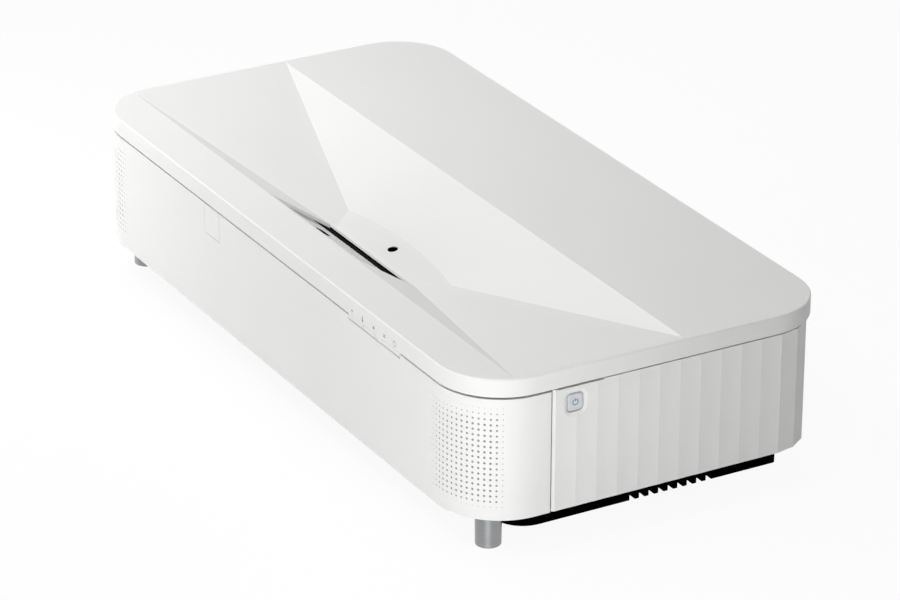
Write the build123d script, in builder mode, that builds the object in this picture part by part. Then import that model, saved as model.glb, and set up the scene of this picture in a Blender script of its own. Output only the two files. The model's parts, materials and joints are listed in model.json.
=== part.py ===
from build123d import *
import os
from math import cos, radians, sin, tan

os.makedirs("parts", exist_ok=True)

# Overall sizes: X runs along the long side, -Y is the front, Z = 0 is the table
body_length = 695.0
body_depth = 341.0
corner_radius = 57.0
stand_height = 12.0
base_height = 21.5
case_height = 106.1
lid_seam = 1.9
lid_height = 15.5

# Walls and clearances
wall = 3.0
lid_wall = 2.5
lid_edge = 1.0
fit_gap = 0.2
run_gap = 0.3
panel_seam = 1.6
panel_top_gap = 1.2
insert_seam = 0.5

# Small and hidden round pieces are drawn with this many sides
shaft_sides = 12
round_sides = 24
lens_sides = 36

# White case: it ends short of the lid at the rear and stands on an inward lip
case_rear_inset = 8.5
rear_radius = 45.0
lip_width = 7.0
lip_thick = 2.5
front_wrap = 71.2
rear_seam_inset = 59.5

# Heights that follow from the sizes above
case_z = stand_height + base_height
case_top = case_z + case_height
lid_z = case_top + lid_seam
top_z = lid_z + lid_height
front_y = -body_depth / 2
case_depth = body_depth - case_rear_inset
case_mid_y = -case_rear_inset / 2
case_rear_y = body_depth / 2 - case_rear_inset
side_x = body_length / 2
seam_y = front_y + front_wrap
rear_seam_x = side_x - rear_seam_inset

# Chassis deck that carries everything inside
chassis_thick = 2.5
chassis_z = case_z + lip_thick
deck_z = chassis_z + chassis_thick
post_radius = 5.0
post_inset = 19.0
front_post_inset = 147.5
rear_post_inset = 47.5

# Light funnel in the lid
front_strip = 40.0
rear_plateau = 146.0
side_rim = 4.5
front_slope = 34.8
rear_slope = 29.6
side_slope = 8.9
floor_depth = 41.6
floor_slope = 10.6
floor_crown = 1600.0

# Projection window set into the front slope of the funnel, measured down the slope
window_top = 5.5
window_length = 44.5
window_half_top = 79.0
window_half_end = 73.6
window_bar = 19.5
bar_lap = 1.5
glass_lap = 4.0
glass_thick = 3.0
bezel_frame = 8.0
bezel_thick = 3.0
sensor_radius = 4.4
sensor_height = 8.0
sensor_offset = 3.5
sensor_rearward = 18.0

# Pieces let into the top edge of the front wall
receiver_x = -105.9
receiver_width = 27.2
receiver_height = 26.5
guide_x = 186.5
guide_width = 86.6
guide_height = 3.8
guide_end_seam = 1.0
insert_flange = 3.0
insert_back = 1.5

# Pleats of the side panels
pleat_pitch = 19.5
pleat_depth = 0.25
panel_edge = 1.2
panel_edge_width = 2.4
corner_pleats = 4

# Power button in the right panel
button_setback = 22.5
button_z = 125.3
button_width = 13.0
button_height = 14.4
button_radius = 3.0
button_sink = 1.0
button_flange = 2.6
button_flange_thick = 1.5
button_travel = 1.2
button_gap = 1.35
button_dish = 3.5
button_dish_depth = 1.3
button_edge = 0.5
relief_width = 43.0
relief_rearward = 4.8
relief_depth = 0.8
stem_radius = 3.0
stem_length = 3.0
switch_width = 30.0
switch_height = 22.0
switch_board = 1.6
switch_pillar = 4.0
switch_size = 6.0
switch_thick = 3.5

# Base tray under the case
base_end_inset = 22.5
base_front_inset = 47.5
base_rear_inset = 39.5
base_front_radius = 27.0
base_rear_radius = 4.0
tray_wall = 3.0
vent_count = 9
vent_pitch = 9.15
vent_width = 5.2
vent_height = 4.5
vent_reach = 24.0
vent_y = 28.2

# Screw feet
foot_travel = 10.0
foot_radius = 11.0
foot_seat_radius = 12.0
foot_seat_thick = 2.5
front_foot_inset = 33.0
front_foot_setback = 33.8
rear_foot_inset = 57.5
rear_foot_setback = 62.5
stud_radius = 4.0
stud_hole = 1.0
nut_radius = 8.5
nut_height = 8.0
pad_radius = 8.5
pad_thick = 1.0

# Rear connectors
panel_plate = 3.0
port_frame = 4.0
port_near_margin = 28.0
port_far_margin = 18.0
port_bottom = 46.0
port_top = 74.0
board_rise = 10.0
board_thick = 1.6
board_engine_gap = 21.0
board_end_gap = 61.5
board_rear_gap = 15.1
board_depth = 92.0
socket_seat = 5.0
socket_proud = 0.4
socket_margin = 20.0
hdmi_count = 3
hdmi_width = 15.2
hdmi_height = 6.2
usb_count = 2
usb_width = 14.4
usb_height = 7.6
socket_wall = 0.7
socket_depth = 9.0
tongue_thick = 1.2
jack_size = 9.0
jack_bore = 1.8
inlet_inset = 107.5
inlet_z = 64.0
inlet_width = 28.0
inlet_height = 21.0
inlet_length = 24.0
inlet_wall = 2.2
inlet_socket = 16.0
inlet_flange = 4.0
inlet_flange_thick = 1.6
pin_width = 2.0
pin_height = 5.0
pin_length = 10.0
pin_pitch = 7.0

# Fans
fan_size = 80.0
fan_depth = 25.0
fan_bore = 38.0
fan_hub = 17.0
fan_strut = 5.0
fan_strut_thick = 3.0
fan_shaft = 2.0
fan_cap = 3.0
blade_count = 7
blade_thick = 1.4
blade_chord = 22.0
blade_pitch = 38.0
blade_tip = 1.5
blade_root = 1.5
fan_wall_gap = 14.0
exhaust_places = (-30.0, 55.0)
intake_place = vent_y

# Optics
lens_z = 78.0
lens_radius = 30.0
lens_length = 88.0
lens_bore = 24.0
lens_flange = 38.0
lens_flange_thick = 5.0
lens_glass = 7.0
engine_half = 55.0
engine_front = 25.0
engine_length = 85.0
engine_height = 84.0
engine_edge = 4.0
cradle_half = 34.0
cradle_length = 16.0
cradle_y = -40.0
ring_width = 16.0
ring_thick = 3.7
ring_y = 2.0
lever_width = 6.0
lever_length = 8.0
mirror_half = 78.0
mirror_height = 76.0
mirror_thick = 16.0
mirror_rise = 24.0
mirror_front = 14.0
mirror_radius = 240.0
mirror_edge = 3.0
bracket_thick = 4.0
bracket_foot = 26.0
wheel_radius = 30.0
wheel_thick = 1.2
wheel_gap = 5.8
wheel_y = 70.0
wheel_z = 80.0
wheel_bore = 3.0
motor_radius = 11.0
motor_length = 22.0
motor_foot = 26.0
laser_right = -96.0
laser_length = 80.0
laser_front = 40.0
laser_depth = 70.0
laser_height = 70.0
sink_base = 6.0
sink_depth = 34.0
fin_count = 12
fin_thick = 1.6

# Electronics and sound
supply_end_gap = 57.5
supply_laser_gap = 18.0
supply_rear_gap = 31.1
supply_depth = 78.0
choke_radius = 13.0
choke_height = 24.0
capacitor_radius = 11.0
capacitor_height = 34.0
chip_size = 32.0
chip_height = 14.0
standoff = 6.0
speaker_inset = 79.5
speaker_setback = 76.5
speaker_width = 58.0
speaker_depth = 46.0
speaker_height = 92.0
driver_frame = 5.0
driver_rim = 3.0
driver_height = 76.0
cone_frame = 4.0
cone_depth = 9.0
cone_inset = 7.5

upright = (Align.CENTER, Align.CENTER, Align.MIN)
down_edge = (Align.CENTER, Align.CENTER, Align.MAX)


def write_piece(builder, name):
    builder.part.label = name
    export_step(builder.part, f"parts/{name}.step")


# Funnel planes, each facing the open space above the lid
front_rim_y = front_y + front_strip
rear_rim_y = body_depth / 2 - rear_plateau
side_rim_x = side_x - side_rim
window_plane = Plane(
    origin=(0, front_rim_y, top_z),
    x_dir=(1, 0, 0),
    z_dir=(0, sin(radians(front_slope)), cos(radians(front_slope))),
)
rear_plane = Plane(
    origin=(0, rear_rim_y, top_z),
    x_dir=(1, 0, 0),
    z_dir=(0, -sin(radians(rear_slope)), cos(radians(rear_slope))),
)
side_planes = [
    Plane(
        origin=(side * side_rim_x, 0, top_z),
        x_dir=(0, 1, 0),
        z_dir=(-side * sin(radians(side_slope)), 0, cos(radians(side_slope))),
    )
    for side in (1, -1)
]
floor_front_y = front_rim_y + floor_depth / tan(radians(front_slope))
floor_plane = Plane(
    origin=(0, floor_front_y, top_z - floor_depth),
    x_dir=(1, 0, 0),
    z_dir=(0, cos(radians(floor_slope)), sin(radians(floor_slope))),
)


# The funnel's space grown outwards by a wall, from below its floor up to a height
def funnel_space(grown, height):
    deep = 2 * floor_depth
    with BuildPart() as space:
        with BuildSketch(Plane.XY.offset(top_z - deep)):
            RectangleRounded(
                body_length - lid_wall, body_depth - lid_wall, corner_radius - lid_wall / 2
            )
        extrude(amount=deep + height)
        for plane in (window_plane, rear_plane, *side_planes):
            split(bisect_by=plane.offset(-grown), keep=Keep.TOP)
        sag = side_x**2 / (2 * floor_crown)
        with BuildSketch(floor_plane):
            with BuildLine():
                crown = ThreePointArc((-side_x, sag + grown), (0, grown), (side_x, sag + grown))
                Polyline(crown @ 1, (side_x, deep), (-side_x, deep), crown @ 0)
            make_face()
        extrude(amount=body_depth, both=True, mode=Mode.SUBTRACT)
    return space.part


funnel_outside = funnel_space(lid_wall, -lid_wall / 2)
funnel_inside = funnel_space(0, lid_wall)


# Corners of the tapered window between two distances down the slope, grown at its sides
def window_corners(start, end, grown):
    taper = (window_half_end - window_half_top) / window_length
    near = window_half_top + taper * (start - window_top) + grown
    far = window_half_top + taper * (end - window_top) + grown
    return ((-near, start), (near, start), (far, end), (-far, end))


# Top cover: a shallow lid with the light funnel moulded into it
window_end = window_top + window_length
bar_end = window_end + window_bar
with BuildPart() as top_cover:
    with BuildSketch(Plane.XY.offset(lid_z)):
        RectangleRounded(body_length, body_depth, corner_radius)
    extrude(amount=lid_height)
    chamfer(top_cover.faces().sort_by(Axis.Z)[-1].edges(), lid_edge)
    with BuildSketch(Plane.XY.offset(lid_z)):
        RectangleRounded(
            body_length - 2 * lid_wall, body_depth - 2 * lid_wall, corner_radius - lid_wall
        )
    extrude(amount=lid_height - lid_wall, mode=Mode.SUBTRACT)
    add(funnel_outside)
    add(funnel_inside, mode=Mode.SUBTRACT)
    with BuildSketch(window_plane):
        Polygon(*window_corners(window_top, bar_end, 0), align=None)
    extrude(amount=2 * lid_wall, both=True, mode=Mode.SUBTRACT)
    with Locations((sensor_offset, floor_front_y + sensor_rearward, top_z - floor_depth)):
        Cylinder(sensor_radius + fit_gap, floor_depth, mode=Mode.SUBTRACT)
write_piece(top_cover, "top_cover")

# Projection window: tapered glass against the underside of the funnel's front slope
glass_plane = window_plane.offset(-lid_wall)
with BuildPart() as projection_window:
    with BuildSketch(glass_plane):
        Polygon(*window_corners(window_top - glass_lap, window_end - fit_gap, glass_lap), align=None)
    extrude(amount=-glass_thick)
write_piece(projection_window, "projection_window")

# Window bezel: black frame under the glass, with a bar beside it in the opening's lower end
bezel_plane = glass_plane.offset(-glass_thick)
with BuildPart() as window_bezel:
    with BuildSketch(bezel_plane):
        Polygon(*window_corners(window_top - glass_lap, bar_end + bar_lap, glass_lap), align=None)
        Polygon(
            *window_corners(window_top + bezel_frame, window_end - bezel_frame, -bezel_frame),
            align=None,
            mode=Mode.SUBTRACT,
        )
    extrude(amount=-bezel_thick)
    with BuildSketch(bezel_plane):
        Polygon(*window_corners(window_end, bar_end + bar_lap, glass_lap), align=None)
    extrude(amount=glass_thick)
write_piece(window_bezel, "window_bezel")

# Obstacle sensor let into the funnel floor
sensor_z = top_z - floor_depth + sensor_rearward * tan(radians(floor_slope))
with BuildPart() as obstacle_sensor:
    with Locations((sensor_offset, floor_front_y + sensor_rearward, sensor_z)):
        Cylinder(sensor_radius, sensor_height, align=down_edge)
write_piece(obstacle_sensor, "obstacle_sensor")


# Ring of case wall with its inward lip, cut later into front and rear pieces
with BuildPart() as case_ring:
    with BuildSketch(Plane.XY.offset(case_z)):
        with Locations((0, case_mid_y)):
            RectangleRounded(body_length, case_depth, corner_radius)
            RectangleRounded(
                body_length - 2 * wall,
                case_depth - 2 * wall,
                corner_radius - wall,
                mode=Mode.SUBTRACT,
            )
    extrude(amount=case_height)
    lip_edge = wall + lip_width
    with BuildSketch(Plane.XY.offset(case_z)):
        with Locations((0, case_mid_y)):
            RectangleRounded(body_length, case_depth, corner_radius)
            RectangleRounded(
                body_length - 2 * lip_edge,
                case_depth - 2 * lip_edge,
                corner_radius - lip_edge,
                mode=Mode.SUBTRACT,
            )
    extrude(amount=lip_thick)

# Each insert's place, width, height and top level, and the seams at its ends and below it
front_inserts = (
    (receiver_x, receiver_width, receiver_height, case_top, insert_seam, insert_seam),
    (guide_x, guide_width, guide_height, lid_z - fit_gap, guide_end_seam, lid_seam),
)

# Front case: front wall with both rounded corners, notched for its two inserts
with BuildPart() as front_case:
    add(case_ring.part)
    split(bisect_by=Plane.XZ.offset(-seam_y), keep=Keep.TOP)
    for x, width, height, top, end_seam, foot_seam in front_inserts:
        notch = case_top - top + height + foot_seam
        with Locations((x, front_y, case_top)):
            Box(width + 2 * end_seam, 4 * wall, 2 * notch, mode=Mode.SUBTRACT)
write_piece(front_case, "front_case")

# Inserts: flush faces with a flange that sits against the inside of the wall
insert_names = ("receiver_window", "indicator_light_guide")
for name, (x, width, height, top, end_seam, foot_seam) in zip(insert_names, front_inserts):
    with BuildPart(Plane((x, front_y, top))) as insert:
        Box(width, wall, height, align=(Align.CENTER, Align.MIN, Align.MAX))
        with Locations((0, wall, 0)):
            Box(
                width + 2 * insert_flange,
                insert_back,
                height + insert_flange,
                align=(Align.CENTER, Align.MIN, Align.MAX),
            )
    write_piece(insert, name)


# Ridges between the right panel's pleats in plan, along the end and round the rear corner
panel_front_y = seam_y + panel_seam
panel_corner = (side_x - rear_radius, case_rear_y - rear_radius)
first_ridge_y = panel_front_y + panel_edge_width
end_pleats = max(1, round((panel_corner[1] - first_ridge_y) / pleat_pitch))
end_pitch = (panel_corner[1] - first_ridge_y) / end_pleats
ridges = [(side_x, first_ridge_y + index * end_pitch) for index in range(end_pleats + 1)]
for index in range(1, corner_pleats + 1):
    turn = radians(90 * index / corner_pleats)
    ridges.append((panel_corner[0] + rear_radius * cos(turn), panel_corner[1] + rear_radius * sin(turn)))

# Side panels: shallow hollow pleats outside, smooth inside, lip along the bottom
inner_x = side_x - pleat_depth - wall
inner_radius = rear_radius - pleat_depth - wall


def panel_solid(inset, height):
    reach = inner_radius - inset
    half_turn = sin(radians(45))
    with BuildPart() as panel:
        with BuildSketch(Plane.XY.offset(case_z)):
            with BuildLine():
                Line((side_x - panel_edge, panel_front_y), ridges[0])
                for near, far in zip(ridges, ridges[1:]):
                    chord = Vector(*far) - Vector(*near)
                    hollow = Vector(-chord.Y, chord.X).normalized() * pleat_depth
                    ThreePointArc(near, (Vector(*near) + Vector(*far)) / 2 + hollow, far)
                Line(ridges[-1], (rear_seam_x, case_rear_y))
                Line((rear_seam_x, case_rear_y), (rear_seam_x, panel_corner[1] + reach))
                Line((rear_seam_x, panel_corner[1] + reach), (panel_corner[0], panel_corner[1] + reach))
                ThreePointArc(
                    (panel_corner[0], panel_corner[1] + reach),
                    (panel_corner[0] + reach * half_turn, panel_corner[1] + reach * half_turn),
                    (inner_x - inset, panel_corner[1]),
                )
                Line((inner_x - inset, panel_corner[1]), (inner_x - inset, panel_front_y))
                Line((inner_x - inset, panel_front_y), (side_x - panel_edge, panel_front_y))
            make_face()
        extrude(amount=height)
    return panel.part


panel_height = case_height + lid_seam - panel_top_gap
panel_wall = panel_solid(0, panel_height)
panel_lip = panel_solid(lip_width - pleat_depth, lip_thick)

with BuildPart() as side_panel_left:
    add(mirror(panel_wall + panel_lip, about=Plane.YZ))
write_piece(side_panel_left, "side_panel_left")

button_y = seam_y + button_setback
button_face_x = side_x - button_sink
with BuildPart() as side_panel_right:
    add(panel_wall)
    add(panel_lip)
    for inset, grown in ((0, button_gap + button_dish), (button_dish_depth, button_gap)):
        with BuildSketch(Plane.YZ.offset(side_x - inset)):
            with Locations((button_y, button_z)):
                RectangleRounded(
                    button_width + 2 * grown, button_height + 2 * grown, button_radius + grown
                )
    loft(ruled=True, mode=Mode.SUBTRACT)
    with BuildSketch(Plane.YZ.offset(side_x)):
        with Locations((button_y, button_z)):
            RectangleRounded(
                button_width + 2 * button_gap,
                button_height + 2 * button_gap,
                button_radius + button_gap,
            )
    extrude(amount=-4 * wall, mode=Mode.SUBTRACT)
    with Locations((side_x, button_y + relief_rearward, case_z + panel_height)):
        Box(4 * wall, relief_width, 2 * relief_depth, mode=Mode.SUBTRACT)
write_piece(side_panel_right, "side_panel_right")

# Power button: cap, retaining flange and stem, with its switch board behind
flange_x = inner_x - run_gap
with BuildPart() as power_button:
    with BuildSketch(Plane.YZ.offset(button_face_x)):
        with Locations((button_y, button_z)):
            RectangleRounded(button_width, button_height, button_radius)
    extrude(amount=flange_x - button_face_x)
    chamfer(power_button.faces().sort_by(Axis.X)[-1].edges(), button_edge)
    with BuildSketch(Plane.YZ.offset(flange_x)):
        with Locations((button_y, button_z)):
            Rectangle(button_width + 2 * button_flange, button_height + 2 * button_flange)
    extrude(amount=-button_flange_thick)
    with BuildSketch(Plane.YZ.offset(flange_x - button_flange_thick)):
        with Locations((button_y, button_z)):
            RegularPolygon(stem_radius, shaft_sides)
    extrude(amount=-stem_length)
write_piece(power_button, "power_button")

switch_front_x = flange_x - button_flange_thick - stem_length - button_travel - run_gap
board_x = switch_front_x - switch_thick
pillar_y = switch_width / 2 - switch_pillar / 2
with BuildPart() as button_switch:
    with BuildSketch(Plane.YZ.offset(board_x)):
        with Locations((button_y, button_z)):
            Rectangle(switch_width, switch_height)
    extrude(amount=-switch_board)
    with BuildSketch(Plane.YZ.offset(board_x)):
        with Locations((button_y, button_z)):
            Rectangle(switch_size, switch_size)
    extrude(amount=switch_thick)
    with BuildSketch(Plane.YZ.offset(board_x)):
        with Locations((button_y, button_z)):
            with GridLocations(2 * pillar_y, switch_height - switch_pillar, 2, 2):
                Rectangle(switch_pillar, switch_pillar)
    extrude(amount=inner_x - board_x)
write_piece(button_switch, "button_switch")

# Rear panel with openings for the connector plate and the power inlet
board_left = engine_half + board_engine_gap
board_right = side_x - board_end_gap
board_rear = case_rear_y - board_rear_gap
port_left = board_left + port_near_margin
port_right = board_right - port_far_margin
inlet_x = inlet_inset - side_x
with BuildPart() as rear_panel:
    add(case_ring.part)
    split(bisect_by=Plane.XZ, keep=Keep.BOTTOM)
    rear_half = rear_seam_x - panel_seam
    split(bisect_by=Plane.YZ.offset(rear_half), keep=Keep.BOTTOM)
    split(bisect_by=Plane.YZ.offset(-rear_half), keep=Keep.TOP)
    with BuildSketch(Plane.XZ.offset(-case_rear_y)):
        with Locations(((port_left + port_right) / 2, (port_bottom + port_top) / 2)):
            Rectangle(port_right - port_left, port_top - port_bottom)
        with Locations((inlet_x, inlet_z)):
            Rectangle(inlet_width + 2 * fit_gap, inlet_height + 2 * fit_gap)
    extrude(amount=2 * wall, both=True, mode=Mode.SUBTRACT)
write_piece(rear_panel, "rear_panel")

# Chassis: deck plate with hexagonal posts up to the lid and seats for the front feet
post_front_y = front_y + post_inset
post_rear_y = body_depth / 2 - post_inset
front_post_x = side_x - front_post_inset
rear_post_x = side_x - rear_post_inset
post_places = [(side * front_post_x, post_front_y) for side in (-1, 1)]
post_places += [(side * rear_post_x, post_rear_y) for side in (-1, 0, 1)]
front_foot_x = side_x - front_foot_inset
front_foot_y = front_y + front_foot_setback
rear_foot_x = side_x - rear_foot_inset
rear_foot_y = body_depth / 2 - rear_foot_setback
front_feet = ((-front_foot_x, front_foot_y), (front_foot_x, front_foot_y))
rear_feet = ((-rear_foot_x, rear_foot_y), (rear_foot_x, rear_foot_y))
chassis_inset = wall + pleat_depth + run_gap
with BuildPart() as chassis:
    with BuildSketch(Plane.XY.offset(chassis_z)):
        with Locations((0, case_mid_y)):
            RectangleRounded(
                body_length - 2 * chassis_inset,
                case_depth - 2 * chassis_inset,
                corner_radius - chassis_inset,
            )
    extrude(amount=chassis_thick)
    with BuildSketch(Plane.XY.offset(chassis_z)):
        with Locations(*front_feet):
            RegularPolygon(foot_seat_radius, round_sides)
    extrude(amount=-foot_seat_thick)
    with BuildSketch(Plane.XY.offset(chassis_z)):
        with Locations(*front_feet):
            RegularPolygon(stud_radius + stud_hole, shaft_sides, major_radius=False)
    extrude(amount=2 * chassis_thick, both=True, mode=Mode.SUBTRACT)
    with BuildSketch(Plane.XY.offset(deck_z)):
        with Locations(*post_places):
            RegularPolygon(post_radius, 6)
    extrude(amount=top_z - lid_wall - deck_z)
write_piece(chassis, "chassis")

# Base tray: black plinth with vent combs along both ends
tray_height = chassis_z - stand_height
base_half_length = side_x - base_end_inset
base_front_y = front_y + base_front_inset
base_rear_y = body_depth / 2 - base_rear_inset
base_mid_y = (base_front_y + base_rear_y) / 2
base_depth = base_rear_y - base_front_y
with BuildPart() as base_tray:
    with BuildSketch(Plane.XY.offset(stand_height)) as tray_plan:
        with Locations((0, base_mid_y)):
            Rectangle(2 * base_half_length, base_depth)
        fillet(tray_plan.vertices().group_by(Axis.Y)[0], base_front_radius)
        fillet(tray_plan.vertices().group_by(Axis.Y)[-1], base_rear_radius)
    extrude(amount=tray_height)
    with BuildSketch(Plane.XY.offset(stand_height + tray_wall)):
        offset(tray_plan.sketch, -tray_wall)
    extrude(amount=tray_height, mode=Mode.SUBTRACT)
    for side in (-1, 1):
        with Locations((side * base_half_length, vent_y, stand_height)):
            with GridLocations(0, vent_pitch, 1, vent_count):
                Box(2 * vent_reach, vent_width, 2 * vent_height, mode=Mode.SUBTRACT)
    with BuildSketch(Plane.XY.offset(stand_height)):
        with Locations(*rear_feet):
            RegularPolygon(stud_radius + stud_hole, shaft_sides, major_radius=False)
    extrude(amount=2 * tray_wall, mode=Mode.SUBTRACT)
write_piece(base_tray, "base_tray")

# Screw feet: turned foot with its stud, rubber pad and nut, two under the deck, two under the tray
front_seat = chassis_z - foot_seat_thick
foot_places = (
    ("front_left", front_feet[0], front_seat, deck_z),
    ("front_right", front_feet[1], front_seat, deck_z),
    ("rear_left", rear_feet[0], stand_height, stand_height + tray_wall),
    ("rear_right", rear_feet[1], stand_height, stand_height + tray_wall),
)
for name, (x, y), seat_z, nut_z in foot_places:
    foot_top = seat_z - run_gap
    with BuildPart(Plane((x, y, pad_thick))) as foot:
        Cylinder(foot_radius, foot_top - pad_thick, align=upright)
        with BuildSketch(Plane((x, y, foot_top))):
            RegularPolygon(stud_radius, shaft_sides)
        extrude(amount=nut_z + nut_height + foot_travel - foot_top)
    write_piece(foot, f"foot_{name}")
    with BuildPart() as foot_pad:
        with BuildSketch(Plane((x, y, 0))):
            RegularPolygon(pad_radius, round_sides)
        extrude(amount=pad_thick)
    write_piece(foot_pad, f"foot_pad_{name}")
    with BuildPart() as foot_nut:
        with BuildSketch(Plane((x, y, nut_z))):
            RegularPolygon(nut_radius, 6)
            RegularPolygon(
                stud_radius + run_gap, shaft_sides, major_radius=False, mode=Mode.SUBTRACT
            )
        extrude(amount=nut_height)
    write_piece(foot_nut, f"foot_nut_{name}")

# Main board on standoffs, with a shielded processor
board_z = deck_z + board_rise
board_mid = ((board_left + board_right) / 2, board_rear - board_depth / 2)
with BuildPart() as main_board:
    with Locations((*board_mid, board_z)):
        Box(board_right - board_left, board_depth, board_thick, align=upright)
        Box(chip_size, chip_size, chip_height, align=upright)
    with Locations((*board_mid, deck_z)):
        with GridLocations(
            board_right - board_left - 2 * standoff,
            board_depth - 2 * standoff,
            2,
            2,
        ):
            Box(standoff, standoff, board_rise, align=upright)
write_piece(main_board, "main_board")

# Connector plate behind the rear panel and the sockets that come through it
socket_z = board_z + board_thick
plate_face_y = case_rear_y - wall
socket_face_y = plate_face_y + socket_proud
socket_count = hdmi_count + usb_count + 1
socket_pitch = (port_right - port_left - 2 * socket_margin) / (socket_count - 1)
socket_places = [port_left + socket_margin + i * socket_pitch for i in range(socket_count)]
sockets = []
for i, x in enumerate(socket_places):
    if i < hdmi_count:
        sockets.append((f"hdmi_socket_{i + 1}", x, hdmi_width, hdmi_height))
    elif i < hdmi_count + usb_count:
        sockets.append((f"usb_socket_{i + 1 - hdmi_count}", x, usb_width, usb_height))
    else:
        sockets.append(("audio_jack", x, jack_size, jack_size))
plate_plane = Plane.XZ.offset(-plate_face_y)
with BuildPart() as port_plate:
    with BuildSketch(plate_plane):
        with Locations(((port_left + port_right) / 2, (port_bottom + port_top) / 2)):
            Rectangle(
                port_right - port_left + 2 * port_frame, port_top - port_bottom + 2 * port_frame
            )
        for name, x, width, height in sockets:
            with Locations((x, socket_z + height / 2)):
                Rectangle(width + 2 * fit_gap, height + 2 * fit_gap, mode=Mode.SUBTRACT)
    extrude(amount=panel_plate)
write_piece(port_plate, "port_plate")

socket_length = socket_face_y - board_rear + socket_seat
socket_plane = Plane.XZ.offset(-socket_face_y)
for name, x, width, height in sockets:
    with BuildPart() as socket:
        with BuildSketch(socket_plane):
            with Locations((x, socket_z + height / 2)):
                Rectangle(width, height)
        extrude(amount=socket_length)
        with BuildSketch(socket_plane):
            with Locations((x, socket_z + height / 2)):
                if name == "audio_jack":
                    Circle(jack_bore)
                else:
                    Rectangle(width - 2 * socket_wall, height - 2 * socket_wall)
                    Rectangle(width - 6 * socket_wall, tongue_thick, mode=Mode.SUBTRACT)
        extrude(amount=socket_depth, mode=Mode.SUBTRACT)
    write_piece(socket, name)

# Power inlet: moulded socket with three blades, its flange against the outside of the panel
inlet_plane = Plane.XZ.offset(-case_rear_y)
with BuildPart() as ac_inlet:
    with BuildSketch(inlet_plane):
        with Locations((inlet_x, inlet_z)):
            Rectangle(inlet_width + 2 * inlet_flange, inlet_height + 2 * inlet_flange)
    extrude(amount=-inlet_flange_thick)
    with BuildSketch(inlet_plane):
        with Locations((inlet_x, inlet_z)):
            Rectangle(inlet_width, inlet_height)
    extrude(amount=inlet_length)
    mouth_plane = inlet_plane.offset(-inlet_flange_thick)
    with BuildSketch(mouth_plane):
        with Locations((inlet_x, inlet_z)):
            RectangleRounded(
                inlet_width - 2 * inlet_wall, inlet_height - 2 * inlet_wall, inlet_wall
            )
    extrude(amount=inlet_socket, mode=Mode.SUBTRACT)
    with BuildSketch(mouth_plane.offset(inlet_socket)):
        with Locations((inlet_x, inlet_z)):
            with Locations((-pin_pitch, 0), (0, pin_width), (pin_pitch, 0)):
                Rectangle(pin_width, pin_height)
    extrude(amount=-pin_length)
write_piece(ac_inlet, "ac_inlet")


# Fan: square frame with struts and shaft pin, and a rotor with pitched blades
fan_z = deck_z + fan_size / 2


def fan_frame_at(x, y):
    facing = Plane(origin=(x, y, fan_z), x_dir=(0, 1, 0), z_dir=(1, 0, 0))
    with BuildPart() as frame:
        with BuildSketch(facing):
            Rectangle(fan_size, fan_size)
            RegularPolygon(fan_bore, round_sides, major_radius=False, mode=Mode.SUBTRACT)
        extrude(amount=fan_depth)
        strut_length = (fan_bore + fan_size / 2) / 2
        with BuildSketch(facing):
            RegularPolygon(fan_hub, round_sides)
            with PolarLocations(0, 3):
                Rectangle(strut_length, fan_strut, align=(Align.MIN, Align.CENTER))
        extrude(amount=fan_strut_thick)
        with BuildSketch(facing):
            RegularPolygon(fan_shaft, shaft_sides)
        extrude(amount=fan_depth - fan_cap - 2 * run_gap)
    return frame


def fan_rotor_at(x, y):
    facing = Plane(origin=(x, y, fan_z), x_dir=(0, 1, 0), z_dir=(1, 0, 0))
    hub_start = fan_strut_thick + run_gap
    hub_length = fan_depth - hub_start - run_gap
    blade_inner = fan_hub - blade_root
    blade_length = fan_bore - blade_tip - blade_inner
    with BuildPart() as rotor:
        with BuildSketch(facing.offset(hub_start)):
            RegularPolygon(fan_hub, round_sides)
        extrude(amount=hub_length)
        with Locations(facing.offset(hub_start + hub_length / 2)):
            with PolarLocations(blade_inner + blade_length / 2, blade_count):
                Box(blade_length, blade_chord, blade_thick, rotation=(blade_pitch, 0, 0))
        with BuildSketch(facing.offset(hub_start)):
            RegularPolygon(fan_shaft + run_gap, shaft_sides, major_radius=False)
        extrude(amount=hub_length - fan_cap, mode=Mode.SUBTRACT)
    return rotor


exhaust_x = -side_x + fan_wall_gap
intake_x = side_x - fan_wall_gap - fan_depth
fan_places = [
    ("exhaust_front", exhaust_x, exhaust_places[0]),
    ("exhaust_rear", exhaust_x, exhaust_places[1]),
    ("intake", intake_x, intake_place),
]
for name, x, y in fan_places:
    write_piece(fan_frame_at(x, y), f"fan_frame_{name}")
    write_piece(fan_rotor_at(x, y), f"fan_rotor_{name}")

# Light engine: closed optical box on the deck
with BuildPart() as light_engine:
    with Locations((0, engine_front, deck_z)):
        Box(
            2 * engine_half,
            engine_length,
            engine_height,
            align=(Align.CENTER, Align.MIN, Align.MIN),
        )
    fillet(light_engine.edges().filter_by(Axis.Z), engine_edge)
write_piece(light_engine, "light_engine")

# Projection lens: flanged barrel on the engine, front element, cradle and focus ring
lens_plane = Plane(origin=(0, engine_front, lens_z), x_dir=(1, 0, 0), z_dir=(0, -1, 0))
with BuildPart() as lens_barrel:
    with BuildSketch(lens_plane):
        RectangleRounded(2 * lens_flange - 2 * engine_edge, 2 * lens_flange, engine_edge)
    extrude(amount=lens_flange_thick)
    with BuildSketch(lens_plane):
        RegularPolygon(lens_radius, lens_sides)
    extrude(amount=lens_length)
    with BuildSketch(lens_plane.offset(lens_length)):
        RegularPolygon(lens_bore + fit_gap, lens_sides, major_radius=False)
    extrude(amount=-lens_glass, mode=Mode.SUBTRACT)
write_piece(lens_barrel, "lens_barrel")

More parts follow.
